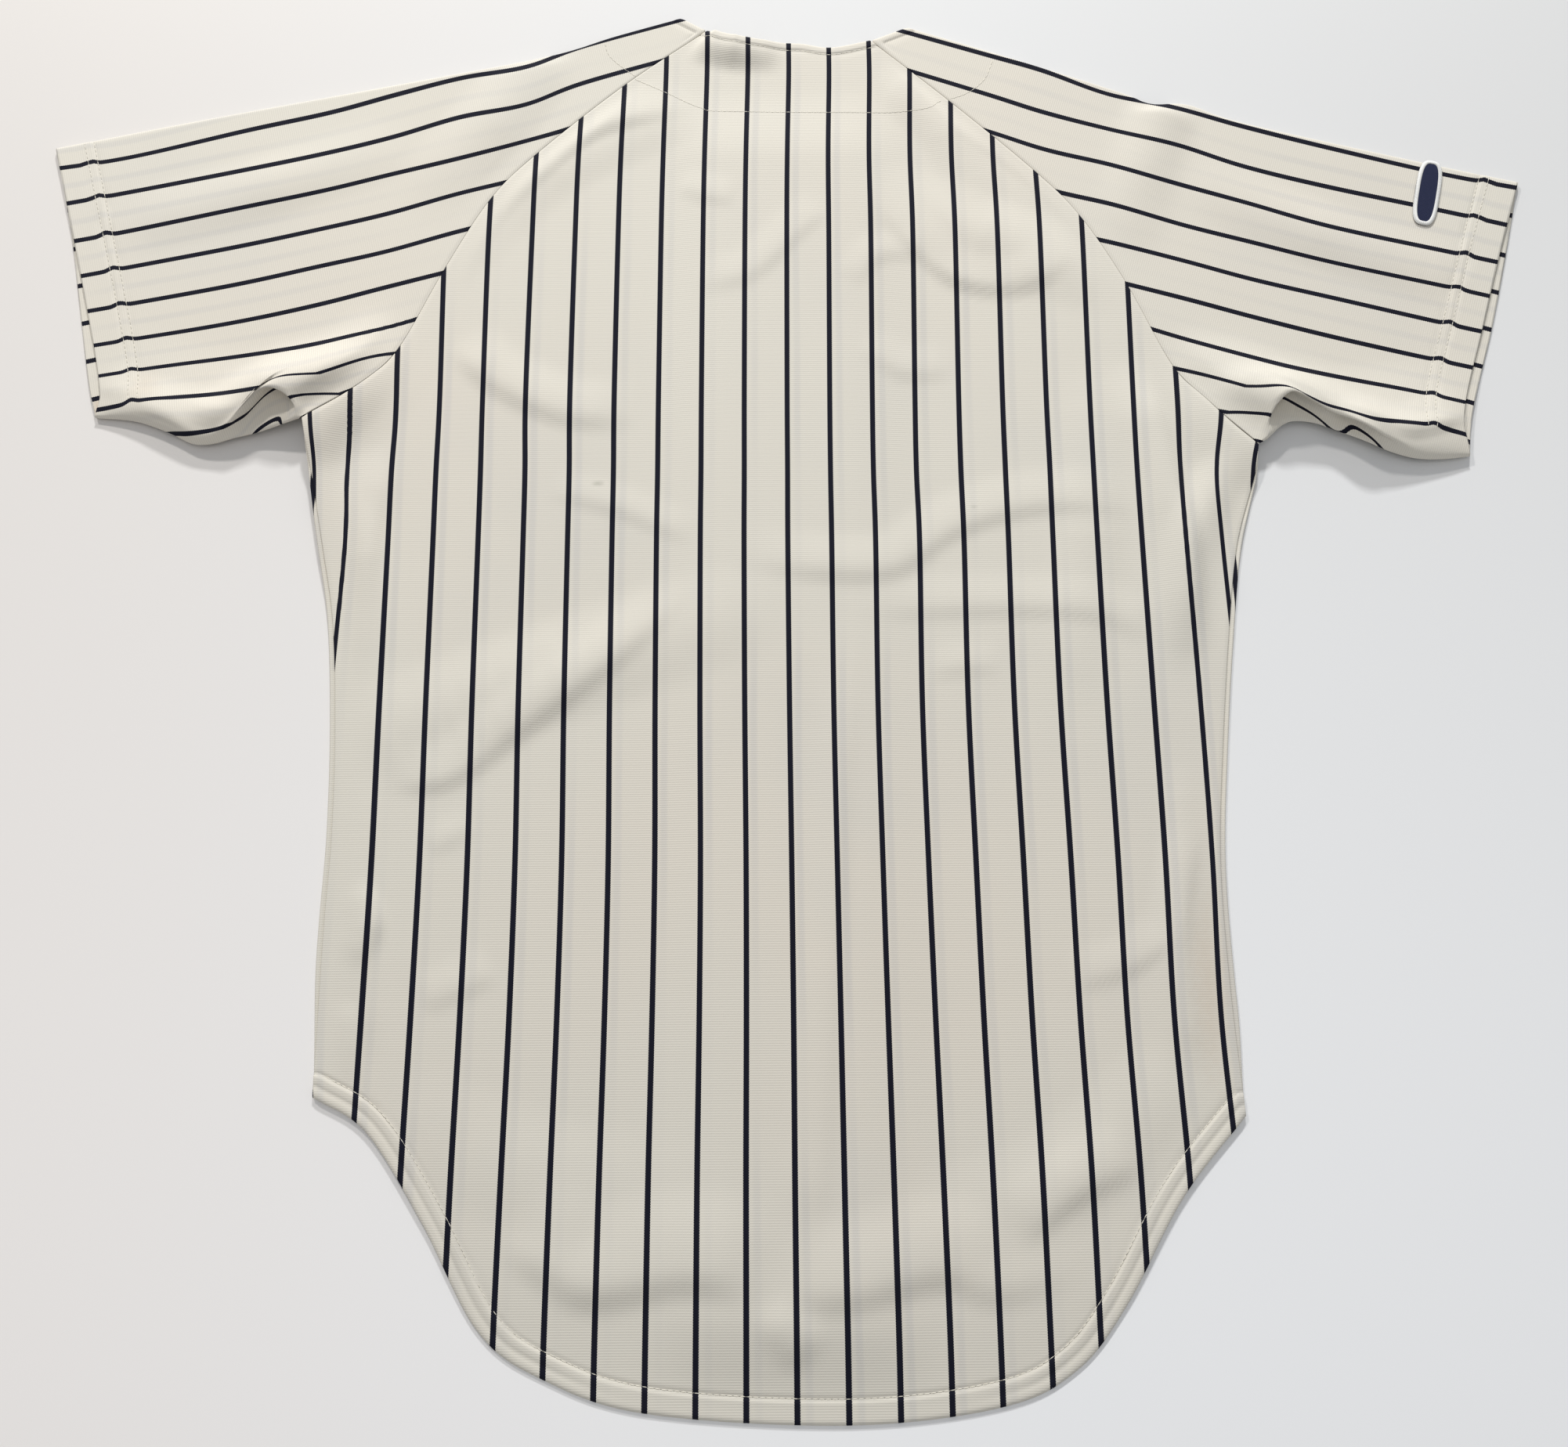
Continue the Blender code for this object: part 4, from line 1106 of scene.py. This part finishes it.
def stitches(name, line, tree, thread, shade, from_below):
    """A row of stitches along a line, each one a small bar on the cloth with a dark bar of painted shade
    beside it, sunk where the needle's hole is.
    """
    line = np.array(line, float)
    run = np.concatenate([[0], np.cumsum(np.hypot(*np.diff(line, axis=0).T))])
    count = max(2, round(run[-1] / STITCH_STEP))
    up = Vector((0, 0, -1 if from_below else 1))
    ends = ((-0.5 * STITCH_SHARE, 0.5 * STITCH_SHARE), (0.5 * STITCH_SHARE, 1 - 0.5 * STITCH_SHARE))
    groups = ([], [])
    for index in range(count):
        for group, offsets, out in zip(groups, ends, (STITCH_SUNK, -HOLE_SUNK)):
            at = (index + 0.5 + np.array(offsets)) * run[-1] / count
            x = np.interp(at, run, line[:, 0])
            y = np.interp(at, run, line[:, 1])
            start, end = (on_cloth(x[side], y[side], tree, up) for side in (0, 1))
            if start[0] is None or end[0] is None or at[1] > run[-1]:
                continue
            way = end[0] - start[0]
            if abs(way.z) > abs(way.x) + abs(way.y):
                continue
            outward = (start[1] + end[1]).normalized()
            group.append((start[0] + outward * out * MM, end[0] + outward * out * MM, outward))
    bars(name, ((groups[0], thread, STITCH_RADIUS), (groups[1], shade, HOLE_RADIUS)))


def moved_in(line, distance):
    """A line moved to its left by a distance."""
    line = np.array(line, float)
    way = np.gradient(line, axis=0)
    way /= np.linalg.norm(way, axis=1)[:, None]
    return line + distance * np.stack([-way[:, 1], way[:, 0]], axis=1)


TABLE_Z = -0.0004  # the lowest stitches stay clear of the table


def floor_and_light():
    """A pale table under soft light that comes mostly from beyond the neck, with painted light in its
    colour.
    """
    mesh = bpy.data.meshes.new("table")
    reach = 6.0
    corners = [(-reach, -reach, 0), (reach, -reach, 0), (reach, reach, 0), (-reach, reach, 0)]
    mesh.from_pydata(corners, [], [(0, 1, 2, 3)])
    table = linked("table", mesh)
    table.location = (0, 0, TABLE_Z)
    n = Nodes("table")
    x, y, _z = n.add("ShaderNodeSeparateXYZ", {0: n.place()}).node.outputs
    # Painted light: the table's colour is paler towards the tail, away from the lamps, and warmer on the
    # left, as if warm light fell there.
    painted_brightening = n.step(y, 0.45, -0.5)
    painted_warm_light = n.step(x, 0.1, -0.5)
    tone = n.mix(painted_brightening, (0.70, 0.70, 0.695, 1.0), (0.92, 0.925, 0.935, 1.0))
    tone = n.mix(painted_warm_light, tone, (1.0, 0.955, 0.915, 1.0), blend="MULTIPLY")
    mesh.materials.append(n.finished(Base_Color=tone, Roughness=0.6))

    world = bpy.data.worlds.new("room")
    bpy.context.scene.world = world
    world.use_nodes = True
    sky = world.node_tree.nodes["Background"]
    sky.inputs["Color"].default_value = (0.95, 0.97, 1.0, 1.0)
    sky.inputs["Strength"].default_value = 0.37
    lamps = (
        # name, place, size, power, colour
        ("near window", (-0.9, 1.9, 1.5), 0.16, 22.0, (1.0, 0.975, 0.94)),
        ("far window", (0.1, 2.8, 1.5), 0.22, 64.0, (0.98, 0.99, 1.0)),
        ("ceiling", (0.0, -0.3, 2.4), 1.4, 7.5, (1.0, 0.99, 0.97)),
    )
    for name, spot, size, power, colour in lamps:
        lamp = bpy.data.lights.new(name, "AREA")
        lamp.shape = "SQUARE"
        lamp.size = size
        lamp.energy = power
        lamp.color = colour
        light = linked(name, lamp)
        light.location = spot
        light.rotation_euler = (-Vector(spot)).to_track_quat("-Z", "Y").to_euler()


def camera():
    view = bpy.data.cameras.new("camera")
    view.lens = CAMERA_LENS
    view.sensor_width = 36.0
    view.sensor_fit = "HORIZONTAL"
    view.clip_start = 0.05
    eye = linked("camera", view)
    turn = Matrix.Rotation(CAMERA_TILT, 4, "X") @ Matrix.Rotation(CAMERA_ROLL, 4, "Z")
    eye.matrix_world = Matrix.Translation(Vector(CAMERA_SPOT) * MM) @ turn
    bpy.context.scene.camera = eye


def dress():
    """The cloth shells in place of the plain panels, with their knit."""
    pieces = {"back_panel": make_back()}
    for side in SIDES:
        pieces["front_" + side] = make_front(side)
        pieces["sleeve_" + side] = make_sleeve(side)
    knits = {
        "back": knit_material("knit_back", -0.34, 0.20),
        "front": knit_material("knit_fronts", -0.34, 0.20, soiled=False),
        "sleeve": knit_material("knit_sleeves", 0.34, 0.17),
    }
    for node, piece in pieces.items():
        piece.data.materials.append(knits[node.split("_")[0]])
        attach(piece, "root")
        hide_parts(node)
    return pieces


# Lower edge of the facing inside the neck, which is stitched through the back and the sleeves.
FACING = ((-98, 777), (-75, 765), (-52, 753), (-32, 750), (76, 749), (97, 757))
FACING_SLEEVE = {
    "left": ((-76, 766), (-92, 776), (-108, 790), (-112, 801)),
    "right": ((97, 757), (112, 762), (124, 772), (130, 786)),
}
PLACKET_ROWS = (-14.0, 14.0)


def sew(trees, thread, shade):
    """Every row of stitches that shows."""

    def row(name, line, node, from_below=False):
        stitches("stitches_" + name, line, trees[node], thread, shade, from_below)

    row("hem", moved_in(smooth_line(HEM, steps=8), HEM_STITCH), "back_panel")
    row("neck", moved_in(smooth_line(NECK, steps=6)[::-1], NECK_STITCH), "back_panel")
    row("facing", smooth_line(FACING, steps=8), "back_panel")
    front_hem = moved_in(front_hem_line(), HEM_STITCH)
    for side, inward in SIGN.items():
        sleeve = "sleeve_" + side
        row("facing_" + side, smooth_line(FACING_SLEEVE[side]), sleeve)
        for number, away in enumerate(CUFF_STITCHES, 1):
            for layer, column in (("", 0), ("under_", 2)):
                cuff = smooth_line(columns_of(CUFF[side], column), steps=8)
                row(f"cuff_{layer}{side}_{number}", moved_in(cuff, inward * away), sleeve, column > 0)
        front = "front_" + side
        row("hem_" + side, front_hem[front_hem[:, 0] * inward > -PLACKET_HALF], front, True)
        neckline = smooth_line(columns_of(NECKLINE, COLUMN[side]))
        row("neckline_" + side, moved_in(neckline, inward * NECK_STITCH), front, True)
    for number, x in enumerate(PLACKET_ROWS, 1):
        line = ((x, front_hem_at(x) + HEM_STITCH), (x, NECKLINE[-1][1] - NECK_STITCH))
        row(f"placket_{number}", line, "front_left", True)


BUTTON_TOP_Y = 682.0
BUTTON_PITCH = 95.0
BUTTONS = 7
BUTTON_HOLE_OFFSET = 1.6
BUTTONHOLE_HALF = 9.5
BUTTONHOLE_WIDTH = 1.7
BUTTONHOLE_STEP = 0.75
SLIT_HALF = 0.25
SLIT_RADIUS = 0.36
WORKED_RADIUS = 0.34
BUTTON_THREAD_HALF = 2.1
BUTTON_THREAD_Z = 0.45
BUTTON_THREAD_RADIUS = 0.42


def buttonholes(tree, thread, shade):
    """A stitched slit below each button, seen from the side that lies on the table; each slit is a dark bar
    of painted shade.
    """
    down = Vector((0, 0, -1))
    worked = []
    slits = []
    for number in range(BUTTONS):
        centre = BUTTON_TOP_Y - number * BUTTON_PITCH
        for y in np.arange(centre - BUTTONHOLE_HALF, centre + BUTTONHOLE_HALF, BUTTONHOLE_STEP):
            for side in (-1, 1):
                inner = on_cloth(side * SLIT_HALF, y, tree, down)[0]
                outer = on_cloth(side * BUTTONHOLE_WIDTH, y, tree, down)[0]
                worked.append((inner, outer, down))
        start, end = (on_cloth(0.0, centre + way * BUTTONHOLE_HALF, tree, down)[0] for way in (-1, 1))
        slits.append((start, end, down))
    bars("buttonholes", ((worked, thread, WORKED_RADIUS), (slits, shade, SLIT_RADIUS)))


def buttons(thread):
    """The solids' buttons in a satin cream plastic, with two stitches in each."""
    n = Nodes("button")
    swirl = n.noise(n.place(), 240.0, 3.0)
    tone = n.mix(swirl, (0.70, 0.66, 0.56, 1.0), (0.80, 0.77, 0.69, 1.0))
    plastic = n.finished(Base_Color=tone, Roughness=0.32)
    sewn = []
    for number in range(BUTTONS):
        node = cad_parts[f"button_{number + 1}"]
        node.data.materials.clear()
        node.data.materials.append(plastic)
        y = BUTTON_TOP_Y - number * BUTTON_PITCH
        for x in (-BUTTON_HOLE_OFFSET, BUTTON_HOLE_OFFSET):
            ends = [(x, y + way * BUTTON_THREAD_HALF, BUTTON_THREAD_Z) for way in (-1, 1)]
            start, end = (Vector(placed(np.array(spot))) for spot in ends)
            sewn.append((start, end, Vector((0, 0, -1))))
    bars("button_threads", ((sewn, thread, BUTTON_THREAD_RADIUS),))


PATCH_CENTRE = (389.5, 690.0)
PATCH_HALF = (7.5, 22.5)
PATCH_LEAN = math.radians(14)
PATCH_SQUARENESS = 0.6
PATCH_SIDES = 132
PATCH_BASE = FOLDED + GAP
PATCH_BORDER = 2.4
# Rings of the patch from the middle of its underside round to the middle of its top.
PATCH_RINGS = (
    # share of the way out, height
    *((0.30, 0.0), (0.97, 0.0), (1.00, 0.35), (0.97, 0.80), (0.86, 0.95), (0.60, 1.00), (0.30, 1.02)),
)


def patch_outline(shrink=0.0):
    """Evenly spaced points round the patch, drawn in by a distance."""
    angle = np.linspace(0, 2 * math.pi, 4 * PATCH_SIDES + 1)
    turn = []
    for wave, half in ((np.cos(angle), PATCH_HALF[0]), (np.sin(angle), PATCH_HALF[1])):
        turn.append((half - shrink) * np.sign(wave) * np.abs(wave) ** PATCH_SQUARENESS)
    even = by_length(np.stack(turn, axis=-1))(np.arange(PATCH_SIDES) / PATCH_SIDES)
    across, along = even.T
    x = PATCH_CENTRE[0] + across * math.cos(PATCH_LEAN) + along * math.sin(PATCH_LEAN)
    y = PATCH_CENTRE[1] - across * math.sin(PATCH_LEAN) + along * math.cos(PATCH_LEAN)
    return np.stack([x, y], axis=-1)


def patch():
    """Navy embroidery with a white overlocked border."""
    outline = patch_outline()
    centre = np.array(PATCH_CENTRE)
    rings = [with_height(centre + (outline - centre) * out, PATCH_BASE + up) for out, up in PATCH_RINGS]
    points = np.stack(rings)
    rows, columns = points.shape[:2]
    faces = quads(rows, columns, around=True).reshape(-1, 4).tolist()
    faces.append(list(range(columns))[::-1])
    faces.append(list(range((rows - 1) * columns, rows * columns)))
    mesh = bpy.data.meshes.new("patch")
    mesh.from_pydata(placed(points.reshape(-1, 3)).tolist(), [], faces)
    mesh.shade_smooth()

    n = Nodes("patch")
    lean = n.add("ShaderNodeMapping", {"Vector": n.place(), "Rotation": (0.0, 0.0, 0.5)})
    satin = n.add("ShaderNodeTexWave", {"Vector": lean, "Scale": 620.0, "Distortion": 1.2}, output=1)
    tone = n.mix(satin, (0.004, 0.007, 0.028, 1.0), (0.012, 0.020, 0.072, 1.0))
    raised = n.add("ShaderNodeBump", {"Strength": 0.5, "Distance": 0.0003, "Height": satin})
    embroidery = n.finished(Base_Color=tone, Normal=raised, Roughness=0.6, Specular_IOR_Level=0.15)
    mesh.materials.append(embroidery)
    piece = linked("patch", mesh)
    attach(piece, "root")
    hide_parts("sleeve_patch")

    white = thread_material("border_thread", (0.84, 0.84, 0.82, 1.0))
    inner = placed(with_height(patch_outline(PATCH_BORDER), PATCH_BASE + 1.0))
    outer = placed(with_height(outline, PATCH_BASE + 0.45))
    up = Vector((0, 0, 1))
    border = [(Vector(start), Vector(end), up) for start, end in zip(inner, outer)]
    bars("patch_border", ((border, white, 0.62),))


def main():
    bpy.context.scene.view_settings.view_transform = "Standard"
    camera()
    floor_and_light()
    pieces = dress()
    thread = thread_material("thread", (0.80, 0.76, 0.66, 1.0))
    # Painted shade: the colour of the dark bars that stand for the needle holes and the buttonhole slits.
    shade = thread_material("stitch_hole_shade", (0.33, 0.31, 0.26, 1.0))
    trees = {node: surface_of(piece) for node, piece in pieces.items()}
    sew(trees, thread, shade)
    buttonholes(trees["front_left"], thread, shade)
    buttons(thread)
    patch()


main()
